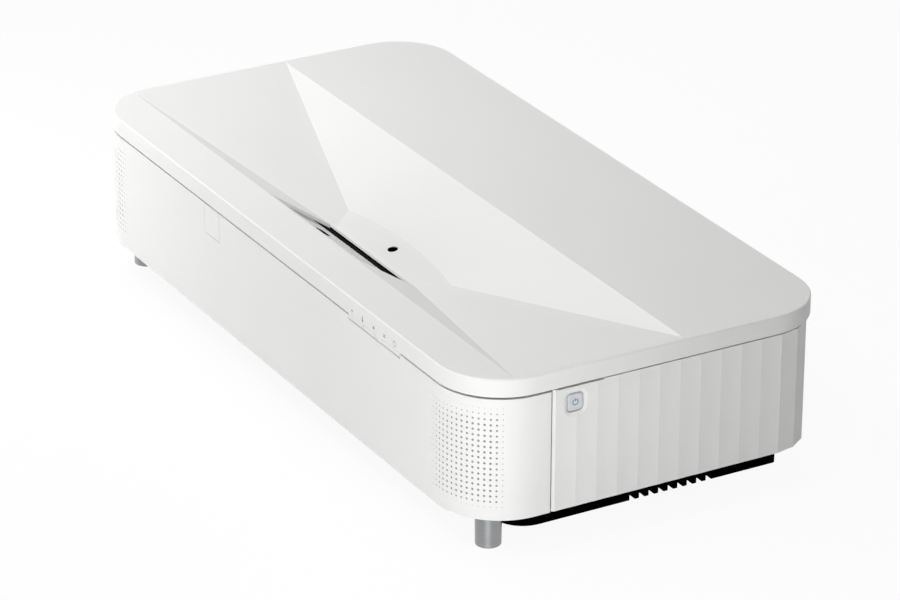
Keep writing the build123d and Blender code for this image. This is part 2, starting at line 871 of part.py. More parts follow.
with BuildPart() as front_lens:
    with BuildSketch(lens_plane.offset(lens_length - lens_glass)):
        RegularPolygon(lens_bore, lens_sides)
    extrude(amount=lens_glass)
write_piece(front_lens, "front_lens")

with BuildPart() as lens_cradle:
    with Locations((0, cradle_y, deck_z)):
        Box(2 * cradle_half, cradle_length, lens_z - deck_z, align=upright)
    with BuildSketch(lens_plane):
        RegularPolygon(lens_radius + fit_gap, lens_sides, major_radius=False)
    extrude(amount=lens_length, mode=Mode.SUBTRACT)
write_piece(lens_cradle, "lens_cradle")

ring_plane = lens_plane.offset(engine_front - ring_y - ring_width / 2)
ring_outer = lens_radius + run_gap + ring_thick
with BuildPart() as focus_ring:
    with BuildSketch(ring_plane):
        RegularPolygon(ring_outer, lens_sides)
        with Locations((0, ring_outer)):
            Rectangle(lever_width, 2 * lever_length)
        RegularPolygon(lens_radius + run_gap, lens_sides, major_radius=False, mode=Mode.SUBTRACT)
    extrude(amount=ring_width)
write_piece(focus_ring, "focus_ring")

# Concave mirror under the front strip and its bracket
mirror_z = deck_z + mirror_rise
mirror_back = front_y + mirror_front
mirror_face = mirror_back + mirror_thick
with BuildPart() as projection_mirror:
    with Locations((0, mirror_back, mirror_z)):
        Box(
            2 * mirror_half,
            mirror_thick,
            mirror_height,
            align=(Align.CENTER, Align.MIN, Align.MIN),
        )
    reach = (mirror_radius**2 - (mirror_half - mirror_edge) ** 2) ** 0.5
    with Locations((0, mirror_face + reach, mirror_z + mirror_height / 2)):
        Cylinder(mirror_radius, 2 * mirror_height, mode=Mode.SUBTRACT)
write_piece(projection_mirror, "projection_mirror")

with BuildPart() as mirror_bracket:
    with BuildSketch(Plane(origin=(0, mirror_back, deck_z), x_dir=(0, 1, 0), z_dir=(1, 0, 0))):
        with BuildLine():
            Polyline(
                (0, mirror_rise + mirror_height),
                (-bracket_thick, mirror_rise + mirror_height),
                (-bracket_thick, 0),
                (bracket_foot, 0),
                (bracket_foot, bracket_thick),
                (0, bracket_thick),
                close=True,
            )
        make_face()
    extrude(amount=mirror_half, both=True)
write_piece(mirror_bracket, "mirror_bracket")

# Phosphor wheel beside the engine, on its motor and foot
wheel_x = -engine_half - wheel_gap - wheel_thick
wheel_plane = Plane(origin=(wheel_x, wheel_y, wheel_z), x_dir=(0, 1, 0), z_dir=(1, 0, 0))
with BuildPart() as phosphor_wheel:
    with BuildSketch(wheel_plane):
        RegularPolygon(wheel_radius, lens_sides)
        RegularPolygon(wheel_bore + run_gap, shaft_sides, major_radius=False, mode=Mode.SUBTRACT)
    extrude(amount=wheel_thick)
write_piece(phosphor_wheel, "phosphor_wheel")

motor_x = wheel_x - run_gap - motor_length
with BuildPart() as wheel_motor:
    with BuildSketch(wheel_plane.offset(-run_gap)):
        RegularPolygon(motor_radius, round_sides)
    extrude(amount=-motor_length)
    with BuildSketch(wheel_plane.offset(-run_gap)):
        RegularPolygon(wheel_bore, shaft_sides)
    extrude(amount=wheel_thick + 2 * run_gap)
    with Locations((motor_x, wheel_y, deck_z)):
        Box(
            motor_length / 2,
            motor_foot,
            wheel_z - deck_z,
            align=(Align.MIN, Align.CENTER, Align.MIN),
        )
write_piece(wheel_motor, "wheel_motor")

# Laser module with its finned heat sink
laser_left = laser_right - laser_length
with BuildPart() as laser_module:
    with Locations((laser_left, laser_front, deck_z)):
        Box(laser_length, laser_depth, laser_height, align=(Align.MIN, Align.MIN, Align.MIN))
    chamfer(laser_module.edges().filter_by(Axis.Z), engine_edge)
write_piece(laser_module, "laser_module")

sink_y = laser_front + laser_depth
with BuildPart() as heat_sink:
    with Locations((laser_left, sink_y, deck_z)):
        Box(laser_length, sink_base, laser_height, align=(Align.MIN, Align.MIN, Align.MIN))
    with Locations((laser_left + laser_length / 2, sink_y, deck_z)):
        with GridLocations((laser_length - fin_thick) / (fin_count - 1), 0, fin_count, 1):
            Box(fin_thick, sink_depth, laser_height, align=(Align.CENTER, Align.MIN, Align.MIN))
write_piece(heat_sink, "heat_sink")

# Power supply board with choke and capacitors
supply_left = -side_x + supply_end_gap
supply_length = laser_left - supply_laser_gap - supply_left
supply_mid = (supply_left + supply_length / 2, case_rear_y - supply_rear_gap - supply_depth / 2)
with BuildPart() as power_supply:
    with Locations((*supply_mid, board_z)):
        Box(supply_length, supply_depth, board_thick, align=upright)
    with Locations((*supply_mid, deck_z)):
        with GridLocations(
            supply_length - 2 * standoff, supply_depth - 2 * standoff, 2, 2
        ):
            Box(standoff, standoff, board_rise, align=upright)
    with BuildSketch(Plane.XY.offset(board_z + board_thick)):
        with Locations(supply_mid):
            with GridLocations(3 * capacitor_radius, 0, 2, 1):
                RegularPolygon(capacitor_radius, round_sides)
    extrude(amount=capacitor_height)
    with Locations((supply_mid[0], supply_mid[1] - 2 * choke_radius, board_z + board_thick)):
        Box(2 * choke_radius, choke_radius, choke_height, align=upright)
write_piece(power_supply, "power_supply")

# Speakers behind the rounded corners, each aimed out through its corner
speaker_x = side_x - speaker_inset
speaker_y = front_y + speaker_setback
driver_width = speaker_width - 2 * driver_frame
for name, side in (("left", -1), ("right", 1)):
    aim = Plane(
        origin=(side * speaker_x, speaker_y, deck_z + speaker_height / 2),
        x_dir=(side, 1, 0),
        z_dir=(side, -1, 0),
    )
    with BuildPart() as speaker:
        with BuildSketch(aim):
            Rectangle(speaker_width, speaker_height)
        extrude(amount=speaker_depth / 2, both=True)
        with BuildSketch(aim.offset(speaker_depth / 2)):
            Rectangle(driver_width, driver_height)
        extrude(amount=driver_rim)
        with BuildSketch(aim.offset(speaker_depth / 2 + driver_rim)):
            inset = cone_frame + cone_inset
            Rectangle(driver_width - 2 * inset, driver_height - 2 * inset)
        extrude(amount=-cone_depth, mode=Mode.SUBTRACT)
        rim = speaker.faces().sort_by(Axis(aim.origin, aim.z_dir))[-1]
        chamfer(rim.inner_wires()[0].edges(), cone_inset)
    write_piece(speaker, f"speaker_{name}")
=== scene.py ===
import bmesh
import bpy
import json
import math
from mathutils import Euler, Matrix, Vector


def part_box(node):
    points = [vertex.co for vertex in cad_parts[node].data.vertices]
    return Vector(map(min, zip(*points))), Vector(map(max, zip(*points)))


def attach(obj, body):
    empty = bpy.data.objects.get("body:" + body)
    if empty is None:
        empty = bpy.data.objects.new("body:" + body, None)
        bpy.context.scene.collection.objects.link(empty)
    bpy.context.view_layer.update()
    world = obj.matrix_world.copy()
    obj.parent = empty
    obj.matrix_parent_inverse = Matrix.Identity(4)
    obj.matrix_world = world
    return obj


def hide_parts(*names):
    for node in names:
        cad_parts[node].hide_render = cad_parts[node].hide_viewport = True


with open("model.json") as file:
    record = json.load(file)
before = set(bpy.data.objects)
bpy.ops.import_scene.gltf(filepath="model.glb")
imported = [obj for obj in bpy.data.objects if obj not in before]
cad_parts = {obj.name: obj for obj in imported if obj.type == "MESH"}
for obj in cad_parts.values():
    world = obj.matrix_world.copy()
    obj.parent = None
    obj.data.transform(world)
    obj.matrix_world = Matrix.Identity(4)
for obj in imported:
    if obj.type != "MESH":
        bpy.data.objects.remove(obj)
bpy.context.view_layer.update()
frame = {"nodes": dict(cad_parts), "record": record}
nodes = frame["nodes"]
mm = 0.001
print("frame loaded with", len(nodes), "nodes")


# sRGB hex to linear, with alpha
def paint(hexColour):
    channels = [int(hexColour[i:i + 2], 16) / 255 for i in (0, 2, 4)]
    return [c / 12.92 if c <= 0.04045 else ((c + 0.055) / 1.055) ** 2.4 for c in channels] + [1.0]


# texture scale whose features are about this many millimetres across
def perFeature(sizeMm):
    return 1 / (sizeMm * mm)


# adds one node: settings are its properties, inputs are values or (node, output) links
def addNode(tree, kind, settings, inputs):
    node = tree.nodes.new(kind)
    for name, value in settings.items():
        setattr(node, name, value)
    for socket, value in inputs.items():
        if isinstance(value, tuple) and isinstance(value[0], bpy.types.Node):
            tree.links.new(value[0].outputs[value[1]], node.inputs[socket])
        else:
            node.inputs[socket].default_value = value
    return node


def startMaterial(name):
    material = bpy.data.materials.new(name)
    material.use_nodes = True
    material.node_tree.nodes.clear()
    return material, material.node_tree


# starts a material whose patterns lie in the object's own coordinates
def startFinish(name):
    material, tree = startMaterial(name)
    return material, tree, addNode(tree, "ShaderNodeTexCoord", {}, {})


def closeMaterial(tree, shader, output="BSDF"):
    addNode(tree, "ShaderNodeOutputMaterial", {}, {"Surface": (shader, output)})


# 1 on rays that show a thing to the eye, in a reflection or through glass, 0 on rays that light it
def addSeenSwitch(tree):
    path = addNode(tree, "ShaderNodeLightPath", {}, {})
    mirrored = addNode(tree, "ShaderNodeMath", {"operation": "MAXIMUM"},
                       {0: (path, "Is Camera Ray"), 1: (path, "Is Glossy Ray")})
    return addNode(tree, "ShaderNodeMath", {"operation": "MAXIMUM"},
                   {0: (mirrored, "Value"), 1: (path, "Is Transmission Ray")})


# camera: fitted to the lid and case edges of the photograph
cameraSettings = {
    "place": (2.86827, -1.61765, 1.56528),
    "turn": (65.403, -0.1605, 60.5665),
    "lens": 167.04,
    "sensor": 36.0,
}
cameraData = bpy.data.cameras.new("camera")
cameraData.lens = cameraSettings["lens"]
cameraData.sensor_width = cameraSettings["sensor"]
camera = bpy.data.objects.new("camera", cameraData)
camera.location = cameraSettings["place"]
camera.rotation_euler = Euler([math.radians(a) for a in cameraSettings["turn"]], "XYZ")
bpy.context.scene.collection.objects.link(camera)
bpy.context.scene.camera = camera
bpy.context.scene.view_settings.view_transform = "Standard"
print("camera placed")

# soft boxes: place, aim, width, height in metres and power in watts
lampSettings = {
    "overheadLeft": ((-0.9, 0.25, 1.9), (-0.1, 0.0, 0.1), 1.4, 1.2, 8.0),
    "frontTop": ((0.1, -1.2, 2.0), (0.0, 0.0, 0.13), 0.8, 0.6, 13.9),
    "leftTop": ((-0.55, -0.45, 0.9), (-0.15, -0.08, 0.14), 0.5, 0.4, 3.3),
    "rightTop": ((0.9, -0.45, 1.0), (-0.05, -0.05, 0.13), 0.6, 0.5, 0.95),
    "leftCorner": ((-0.72, -0.6, 0.2), (-0.32, -0.17, 0.085), 0.4, 0.3, 1.75),
    "rightCorner": ((0.8, -0.45, 0.2), (0.33, -0.14, 0.08), 0.4, 0.3, 2.05),
    "rearRight": ((1.3, 1.0, 0.5), (0.33, 0.12, 0.09), 0.8, 0.6, 0.75),
    "backLow": ((-0.4, 2.3, 0.5), (0.0, 0.17, 0.08), 1.4, 0.8, 8.0),
}
for name, (place, aim, width, height, power) in lampSettings.items():
    lampData = bpy.data.lights.new(name, "AREA")
    lampData.shape = "RECTANGLE"
    lampData.size = width
    lampData.size_y = height
    lampData.energy = power
    lamp = bpy.data.objects.new(name, lampData)
    lamp.location = place
    lamp.visible_camera = False
    lamp.rotation_euler = (Vector(aim) - Vector(place)).to_track_quat("-Z", "Y").to_euler()
    bpy.context.scene.collection.objects.link(lamp)

# room: an even grey fill that looks white to the eye and in reflections
roomSettings = {"fill": 0.08, "seen": 1.0}
world = bpy.data.worlds.new("room")
bpy.context.scene.world = world
world.use_nodes = True
tree = world.node_tree
tree.nodes.clear()
seen = addSeenSwitch(tree)
white = paint("FFFFFF")
fill = addNode(tree, "ShaderNodeBackground", {}, {"Color": white, "Strength": roomSettings["fill"]})
shown = addNode(tree, "ShaderNodeBackground", {}, {"Color": white, "Strength": roomSettings["seen"]})
choice = addNode(tree, "ShaderNodeMixShader", {},
                 {"Fac": (seen, "Value"), 1: (fill, "Background"), 2: (shown, "Background")})
addNode(tree, "ShaderNodeOutputWorld", {}, {"Surface": (choice, "Shader")})

# floor: pale matte board, lifted towards white for the eye so that only a faint shadow stays
floorSettings = {"size": 12.0, "colour": "E6E6E6", "lift": 0.93, "rest": 0.07}
bpy.ops.mesh.primitive_plane_add(size=floorSettings["size"], location=(0, 0, 0))
floor = bpy.context.object
floor.name = "floor"
floorMaterial, tree = startMaterial("paleBoard")
seen = addSeenSwitch(tree)
board = addNode(tree, "ShaderNodeBsdfDiffuse", {}, {"Color": paint(floorSettings["colour"])})
faint = addNode(tree, "ShaderNodeBsdfDiffuse", {}, {"Color": [floorSettings["rest"]] * 3 + [1]})
lift = addNode(tree, "ShaderNodeEmission", {}, {"Strength": floorSettings["lift"]})
eye = addNode(tree, "ShaderNodeAddShader", {}, {0: (faint, "BSDF"), 1: (lift, "Emission")})
choice = addNode(tree, "ShaderNodeMixShader", {},
                 {"Fac": (seen, "Value"), 1: (board, "BSDF"), 2: (eye, "Shader")})
closeMaterial(tree, choice, "Shader")
floor.data.materials.append(floorMaterial)
print("floor, room and lamps placed")

# ABS moulded in a spark-eroded tool: an even white whose fine grain softens every highlight.
# The real grain is near 0.2 mm, drawn at 0.9 mm so that it shows.
whiteCase, tree, coords = startFinish("sparkErodedWhiteAbs")
grain = addNode(tree, "ShaderNodeTexNoise", {},
                {"Vector": (coords, "Object"), "Scale": perFeature(0.9), "Detail": 3.0, "Roughness": 0.55})
cloud = addNode(tree, "ShaderNodeTexNoise", {},
                {"Vector": (coords, "Object"), "Scale": perFeature(60), "Detail": 2.0})
tint = addNode(tree, "ShaderNodeMix", {"data_type": "RGBA"},
               {"Factor": (cloud, "Fac"), 6: paint("F1F1F0"), 7: paint("F4F4F3")})
satin = addNode(tree, "ShaderNodeMapRange", {},
                {"Value": (grain, "Fac"), "From Min": 0.3, "From Max": 0.7, "To Min": 0.52, "To Max": 0.62})
dimple = addNode(tree, "ShaderNodeBump", {},
                 {"Height": (grain, "Fac"), "Strength": 0.06, "Distance": 0.03 * mm})
shader = addNode(tree, "ShaderNodeBsdfPrincipled", {},
                 {"Base Color": (tint, 2), "Roughness": (satin, "Result"), "Normal": (dimple, "Normal"),
                  "IOR": 1.53})
closeMaterial(tree, shader)

# The same ABS on the two end panels, where the tool's hollow pleats shade a little deeper
# than the moulding itself
pleatSettings = {"firstRidge": -95.3, "pitch": 19.3, "lastRidge": 117.0, "depth": 0.22}
pleatedCase = whiteCase.copy()
pleatedCase.name = "pleatedWhiteAbs"
tree = pleatedCase.node_tree
coords = addNode(tree, "ShaderNodeTexCoord", {}, {})
place = addNode(tree, "ShaderNodeSeparateXYZ", {}, {"Vector": (coords, "Object")})
inPleats = addNode(tree, "ShaderNodeMapRange", {"clamp": False},
                   {"Value": (place, "Y"), "From Min": pleatSettings["firstRidge"] * mm,
                    "From Max": (pleatSettings["firstRidge"] + pleatSettings["pitch"]) * mm})
inOne = addNode(tree, "ShaderNodeMath", {"operation": "FRACT"}, {0: (inPleats, "Result")})
fromMiddle = addNode(tree, "ShaderNodeMath", {"operation": "SUBTRACT"}, {0: (inOne, "Value"), 1: 0.5})
hollow = addNode(tree, "ShaderNodeMath", {"operation": "POWER"}, {0: (fromMiddle, "Value"), 1: 2.0})
onEnd = addNode(tree, "ShaderNodeMath", {"operation": "LESS_THAN"},
                {0: (place, "Y"), 1: pleatSettings["lastRidge"] * mm})
pleat = addNode(tree, "ShaderNodeMath", {"operation": "MULTIPLY"},
                {0: (hollow, "Value"), 1: (onEnd, "Value")})
peak = 4        # the square above goes up to a quarter
deeper = addNode(tree, "ShaderNodeBump", {},
                 {"Height": (pleat, "Value"), "Strength": 1.0,
                  "Distance": peak * pleatSettings["depth"] * mm})
grained = next(n for n in tree.nodes if n.bl_idname == "ShaderNodeBump" and n != deeper)
tree.links.new(deeper.outputs["Normal"], grained.inputs["Normal"])

# ABS from a polished tool: the same white with a smoother skin and a clearer sheen
whiteGloss, tree, coords = startFinish("polishedWhiteAbs")
wave = addNode(tree, "ShaderNodeTexNoise", {},
               {"Vector": (coords, "Object"), "Scale": perFeature(6), "Detail": 2.0})
tint = addNode(tree, "ShaderNodeMix", {"data_type": "RGBA"},
               {"Factor": (wave, "Fac"), 6: paint("EFEFEF"), 7: paint("F3F3F2")})
sheen = addNode(tree, "ShaderNodeMapRange", {},
                {"Value": (wave, "Fac"), "To Min": 0.24, "To Max": 0.32})
shader = addNode(tree, "ShaderNodeBsdfPrincipled", {},
                 {"Base Color": (tint, 2), "Roughness": (sheen, "Result"), "IOR": 1.53})
closeMaterial(tree, shader)

# The button's ABS, tinted a little cooler than the case so that it stands out
buttonWhite = whiteGloss.copy()
buttonWhite.name = "coolWhiteAbs"
for node in buttonWhite.node_tree.nodes:
    if node.bl_idname == "ShaderNodeMix":
        node.inputs[6].default_value = paint("D6DADF")
        node.inputs[7].default_value = paint("DEE1E6")

# Black ABS from a textured tool: so deep and dull that it reads as shadow
blackBase, tree, coords = startFinish("texturedBlackAbs")
grain = addNode(tree, "ShaderNodeTexNoise", {},
                {"Vector": (coords, "Object"), "Scale": perFeature(0.8), "Detail": 3.0})
tint = addNode(tree, "ShaderNodeMix", {"data_type": "RGBA"},
               {"Factor": (grain, "Fac"), 6: paint("010101"), 7: paint("030303")})
dull = addNode(tree, "ShaderNodeMapRange", {},
               {"Value": (grain, "Fac"), "To Min": 0.60, "To Max": 0.78})
dimple = addNode(tree, "ShaderNodeBump", {},
                 {"Height": (grain, "Fac"), "Strength": 0.25, "Distance": 0.05 * mm})
shader = addNode(tree, "ShaderNodeBsdfPrincipled", {},
                 {"Base Color": (tint, 2), "Roughness": (dull, "Result"), "Normal": (dimple, "Normal"),
                  "IOR": 1.53, "Specular IOR Level": 0.0})
closeMaterial(tree, shader)

# Nylon flock on moulded ABS: fibres near 0.4 mm that swallow light even at a low angle
blackFlock, tree, coords = startFinish("flockedBlackAbs")
fibre = addNode(tree, "ShaderNodeTexNoise", {},
                {"Vector": (coords, "Object"), "Scale": perFeature(0.4), "Detail": 3.0})
tint = addNode(tree, "ShaderNodeMix", {"data_type": "RGBA"},
               {"Factor": (fibre, "Fac"), 6: paint("020202"), 7: paint("070707")})
nap = addNode(tree, "ShaderNodeBump", {},
              {"Height": (fibre, "Fac"), "Strength": 0.4, "Distance": 0.1 * mm})
shader = addNode(tree, "ShaderNodeBsdfPrincipled", {},
                 {"Base Color": (tint, 2), "Roughness": 0.95, "Normal": (nap, "Normal"),
                  "IOR": 1.5, "Specular IOR Level": 0.02})
closeMaterial(tree, shader)

# Polycarbonate with carbon black, moulded smooth: a near black with a soft even sheen
blackPlastic, tree, coords = startFinish("mouldedBlackPolycarbonate")
grain = addNode(tree, "ShaderNodeTexNoise", {},
                {"Vector": (coords, "Object"), "Scale": perFeature(1.2), "Detail": 2.0})
tint = addNode(tree, "ShaderNodeMix", {"data_type": "RGBA"},
               {"Factor": (grain, "Fac"), 6: paint("0C0C0D"), 7: paint("161617")})
dull = addNode(tree, "ShaderNodeMapRange", {},
               {"Value": (grain, "Fac"), "To Min": 0.42, "To Max": 0.58})
shader = addNode(tree, "ShaderNodeBsdfPrincipled", {},
                 {"Base Color": (tint, 2), "Roughness": (dull, "Result"), "IOR": 1.58,
                  "Specular IOR Level": 0.35})
closeMaterial(tree, shader)

# Float glass with a hard coat: near mirror at a low angle, with faint smudges
windowGlass, tree, coords = startFinish("coatedFloatGlass")
smudge = addNode(tree, "ShaderNodeTexNoise", {},
                 {"Vector": (coords, "Object"), "Scale": perFeature(18), "Detail": 3.0})
haze = addNode(tree, "ShaderNodeMapRange", {},
               {"Value": (smudge, "Fac"), "From Min": 0.35, "From Max": 0.75, "To Min": 0.02, "To Max": 0.06})
shader = addNode(tree, "ShaderNodeBsdfPrincipled", {},
                 {"Base Color": paint("E8ECEC"), "Roughness": (haze, "Result"), "IOR": 1.52,
                  "Transmission Weight": 1.0})
closeMaterial(tree, shader)

# Infrared-pass acrylic, moulded matt against stray light: black with hardly a highlight
sensorLens, tree, coords = startFinish("mattBlackAcrylic")
speck = addNode(tree, "ShaderNodeTexNoise", {},
                {"Vector": (coords, "Object"), "Scale": perFeature(2), "Detail": 2.0})
tint = addNode(tree, "ShaderNodeMix", {"data_type": "RGBA"},
               {"Factor": (speck, "Fac"), 6: paint("020202"), 7: paint("050405")})
shader = addNode(tree, "ShaderNodeBsdfPrincipled", {},
                 {"Base Color": (tint, 2), "Roughness": 0.6, "IOR": 1.49, "Specular IOR Level": 0.0})
closeMaterial(tree, shader)

# Aluminium turned on a lathe and satin anodised: rings of fine tool marks draw each highlight
# out into an upright streak
footMetal, tree, coords = startFinish("turnedSatinAluminium")
stretch = addNode(tree, "ShaderNodeMapping", {},
                  {"Vector": (coords, "Object"), "Scale": (1, 1, 40)})
marks = addNode(tree, "ShaderNodeTexNoise", {},
                {"Vector": (stretch, "Vector"), "Scale": perFeature(22), "Detail": 4.0})
tint = addNode(tree, "ShaderNodeMix", {"data_type": "RGBA"},
               {"Factor": (marks, "Fac"), 6: paint("8C8E90"), 7: paint("A4A6A8")})
satin = addNode(tree, "ShaderNodeMapRange", {},
                {"Value": (marks, "Fac"), "To Min": 0.35, "To Max": 0.42})
groove = addNode(tree, "ShaderNodeBump", {},
                 {"Height": (marks, "Fac"), "Strength": 0.12, "Distance": 0.04 * mm})
turned = addNode(tree, "ShaderNodeTangent", {"direction_type": "RADIAL", "axis": "Z"}, {})
shader = addNode(tree, "ShaderNodeBsdfPrincipled", {},
                 {"Base Color": (tint, 2), "Roughness": (satin, "Result"), "Normal": (groove, "Normal"),
                  "Metallic": 1.0, "Anisotropic": 0.85, "Anisotropic Rotation": 0.25,
                  "Tangent": (turned, "Tangent")})
closeMaterial(tree, shader)

# Nitrile rubber, pressed: dead matt black with a dusty bloom
footRubber, tree, coords = startFinish("pressedNitrileRubber")
bloom = addNode(tree, "ShaderNodeTexNoise", {},
                {"Vector": (coords, "Object"), "Scale": perFeature(1.5), "Detail": 4.0})
tint = addNode(tree, "ShaderNodeMix", {"data_type": "RGBA"},
               {"Factor": (bloom, "Fac"), 6: paint("1A1A1A"), 7: paint("2A2A29")})
shader = addNode(tree, "ShaderNodeBsdfPrincipled", {},
                 {"Base Color": (tint, 2), "Roughness": 0.85, "IOR": 1.52, "Specular IOR Level": 0.3})
closeMaterial(tree, shader)

# Zinc-plated steel: cool grey with a cloudy spangle about 3 mm across
zincSteel, tree, coords = startFinish("zincPlatedSteel")
spangle = addNode(tree, "ShaderNodeTexVoronoi", {},
                  {"Vector": (coords, "Object"), "Scale": perFeature(3)})
tint = addNode(tree, "ShaderNodeMix", {"data_type": "RGBA"},
               {"Factor": (spangle, "Distance"), 6: paint("B9BBBD"), 7: paint("A2A5A8")})
cloudy = addNode(tree, "ShaderNodeMapRange", {},
                 {"Value": (spangle, "Distance"), "To Min": 0.28, "To Max": 0.44})
shader = addNode(tree, "ShaderNodeBsdfPrincipled", {},
                 {"Base Color": (tint, 2), "Roughness": (cloudy, "Result"), "Metallic": 1.0})
closeMaterial(tree, shader)

# Steel sheet with a black powder coat: dull with an orange-peel ripple near 0.6 mm
chassisSteel, tree, coords = startFinish("powderCoatedSteel")
peel = addNode(tree, "ShaderNodeTexNoise", {},
               {"Vector": (coords, "Object"), "Scale": perFeature(0.6), "Detail": 1.0})
tint = addNode(tree, "ShaderNodeMix", {"data_type": "RGBA"},
               {"Factor": (peel, "Fac"), 6: paint("2A2B2C"), 7: paint("353637")})
ripple = addNode(tree, "ShaderNodeBump", {},
                 {"Height": (peel, "Fac"), "Strength": 0.3, "Distance": 0.04 * mm})
shader = addNode(tree, "ShaderNodeBsdfPrincipled", {},
                 {"Base Color": (tint, 2), "Roughness": 0.55, "Normal": (ripple, "Normal"), "IOR": 1.5})
closeMaterial(tree, shader)

# Nickel-plated brass, stamped: bright with faint drawing lines along the shell
socketMetal, tree, coords = startFinish("stampedNickelPlate")
drawn = addNode(tree, "ShaderNodeMapping", {}, {"Vector": (coords, "Object"), "Scale": (1, 0.05, 1)})
lines = addNode(tree, "ShaderNodeTexNoise", {},
                {"Vector": (drawn, "Vector"), "Scale": perFeature(0.4), "Detail": 2.0})
tint = addNode(tree, "ShaderNodeMix", {"data_type": "RGBA"},
               {"Factor": (lines, "Fac"), 6: paint("C3C1BC"), 7: paint("D4D2CC")})
bright = addNode(tree, "ShaderNodeMapRange", {},
                 {"Value": (lines, "Fac"), "To Min": 0.20, "To Max": 0.32})
shader = addNode(tree, "ShaderNodeBsdfPrincipled", {},
                 {"Base Color": (tint, 2), "Roughness": (bright, "Result"), "Metallic": 1.0})
closeMaterial(tree, shader)

# Gold flash on bronze springs: small warm glints inside the sockets
contactGold, tree, coords = startFinish("goldFlashedBronze")
wear = addNode(tree, "ShaderNodeTexNoise", {},
               {"Vector": (coords, "Object"), "Scale": perFeature(0.7), "Detail": 2.0})
tint = addNode(tree, "ShaderNodeMix", {"data_type": "RGBA"},
               {"Factor": (wear, "Fac"), 6: paint("C79A4B"), 7: paint("DDB868")})
shader = addNode(tree, "ShaderNodeBsdfPrincipled", {},
                 {"Base Color": (tint, 2), "Roughness": 0.25, "Metallic": 1.0})
closeMaterial(tree, shader)

# Glass-fibre board under green solder mask: glossy, with the weave near 0.5 mm just showing
boardGreen, tree, coords = startFinish("solderMaskedBoard")
weave = addNode(tree, "ShaderNodeTexWave", {"wave_type": "BANDS", "bands_direction": "DIAGONAL"},
                {"Vector": (coords, "Object"), "Scale": perFeature(1.0), "Distortion": 1.0})
tint = addNode(tree, "ShaderNodeMix", {"data_type": "RGBA"},
               {"Factor": (weave, "Fac"), 6: paint("1C5A35"), 7: paint("23673E")})
shader = addNode(tree, "ShaderNodeBsdfPrincipled", {},
                 {"Base Color": (tint, 2), "Roughness": 0.35, "IOR": 1.55})
closeMaterial(tree, shader)

# Aluminium die casting, tumbled: soft grey with a pebbled skin near 0.8 mm
engineCast, tree, coords = startFinish("dieCastAluminium")
pebble = addNode(tree, "ShaderNodeTexVoronoi", {},
                 {"Vector": (coords, "Object"), "Scale": perFeature(0.8)})
tint = addNode(tree, "ShaderNodeMix", {"data_type": "RGBA"},
               {"Factor": (pebble, "Distance"), 6: paint("8E9093"), 7: paint("A3A5A7")})
skin = addNode(tree, "ShaderNodeBump", {},
               {"Height": (pebble, "Distance"), "Strength": 0.3, "Distance": 0.05 * mm})
shader = addNode(tree, "ShaderNodeBsdfPrincipled", {},
                 {"Base Color": (tint, 2), "Roughness": 0.5, "Normal": (skin, "Normal"), "Metallic": 1.0})
closeMaterial(tree, shader)

# Extruded aluminium fins, etched: pale, with die lines along the drawing direction
finAluminium, tree, coords = startFinish("extrudedAluminium")
along = addNode(tree, "ShaderNodeMapping", {}, {"Vector": (coords, "Object"), "Scale": (1, 1, 0.03)})
lines = addNode(tree, "ShaderNodeTexNoise", {},
                {"Vector": (along, "Vector"), "Scale": perFeature(0.5), "Detail": 2.0})
tint = addNode(tree, "ShaderNodeMix", {"data_type": "RGBA"},
               {"Factor": (lines, "Fac"), 6: paint("BCBEC0"), 7: paint("D0D1D3")})
shader = addNode(tree, "ShaderNodeBsdfPrincipled", {},
                 {"Base Color": (tint, 2), "Roughness": 0.38, "Metallic": 1.0})
closeMaterial(tree, shader)

# Optical glass, ground and coated: clear, with a slight colour in its reflections
lensGlass, tree, coords = startFinish("coatedOpticalGlass")
dust = addNode(tree, "ShaderNodeTexNoise", {},
               {"Vector": (coords, "Object"), "Scale": perFeature(4), "Detail": 2.0})
haze = addNode(tree, "ShaderNodeMapRange", {},
               {"Value": (dust, "Fac"), "To Min": 0.0, "To Max": 0.04})
shader = addNode(tree, "ShaderNodeBsdfPrincipled", {},
                 {"Base Color": paint("DDE6F0"), "Roughness": (haze, "Result"), "IOR": 1.62,
                  "Transmission Weight": 1.0})
closeMaterial(tree, shader)

# First-surface aluminium on moulded resin: a clean mirror with a trace of haze
mirrorFace, tree, coords = startFinish("evaporatedAluminiumMirror")
dust = addNode(tree, "ShaderNodeTexNoise", {},
               {"Vector": (coords, "Object"), "Scale": perFeature(5), "Detail": 2.0})
haze = addNode(tree, "ShaderNodeMapRange", {},
               {"Value": (dust, "Fac"), "To Min": 0.01, "To Max": 0.05})
shader = addNode(tree, "ShaderNodeBsdfPrincipled", {},
                 {"Base Color": paint("EDEEEF"), "Roughness": (haze, "Result"), "Metallic": 1.0})
closeMaterial(tree, shader)

# Aluminium disc with a baked phosphor ring: chalky yellow
wheelPhosphor, tree, coords = startFinish("bakedPhosphorCoat")
chalk = addNode(tree, "ShaderNodeTexNoise", {},
                {"Vector": (coords, "Object"), "Scale": perFeature(0.6), "Detail": 3.0})
tint = addNode(tree, "ShaderNodeMix", {"data_type": "RGBA"},
               {"Factor": (chalk, "Fac"), 6: paint("D9CC55"), 7: paint("E6DC78")})
shader = addNode(tree, "ShaderNodeBsdfPrincipled", {},
                 {"Base Color": (tint, 2), "Roughness": 0.8, "IOR": 1.6})
closeMaterial(tree, shader)

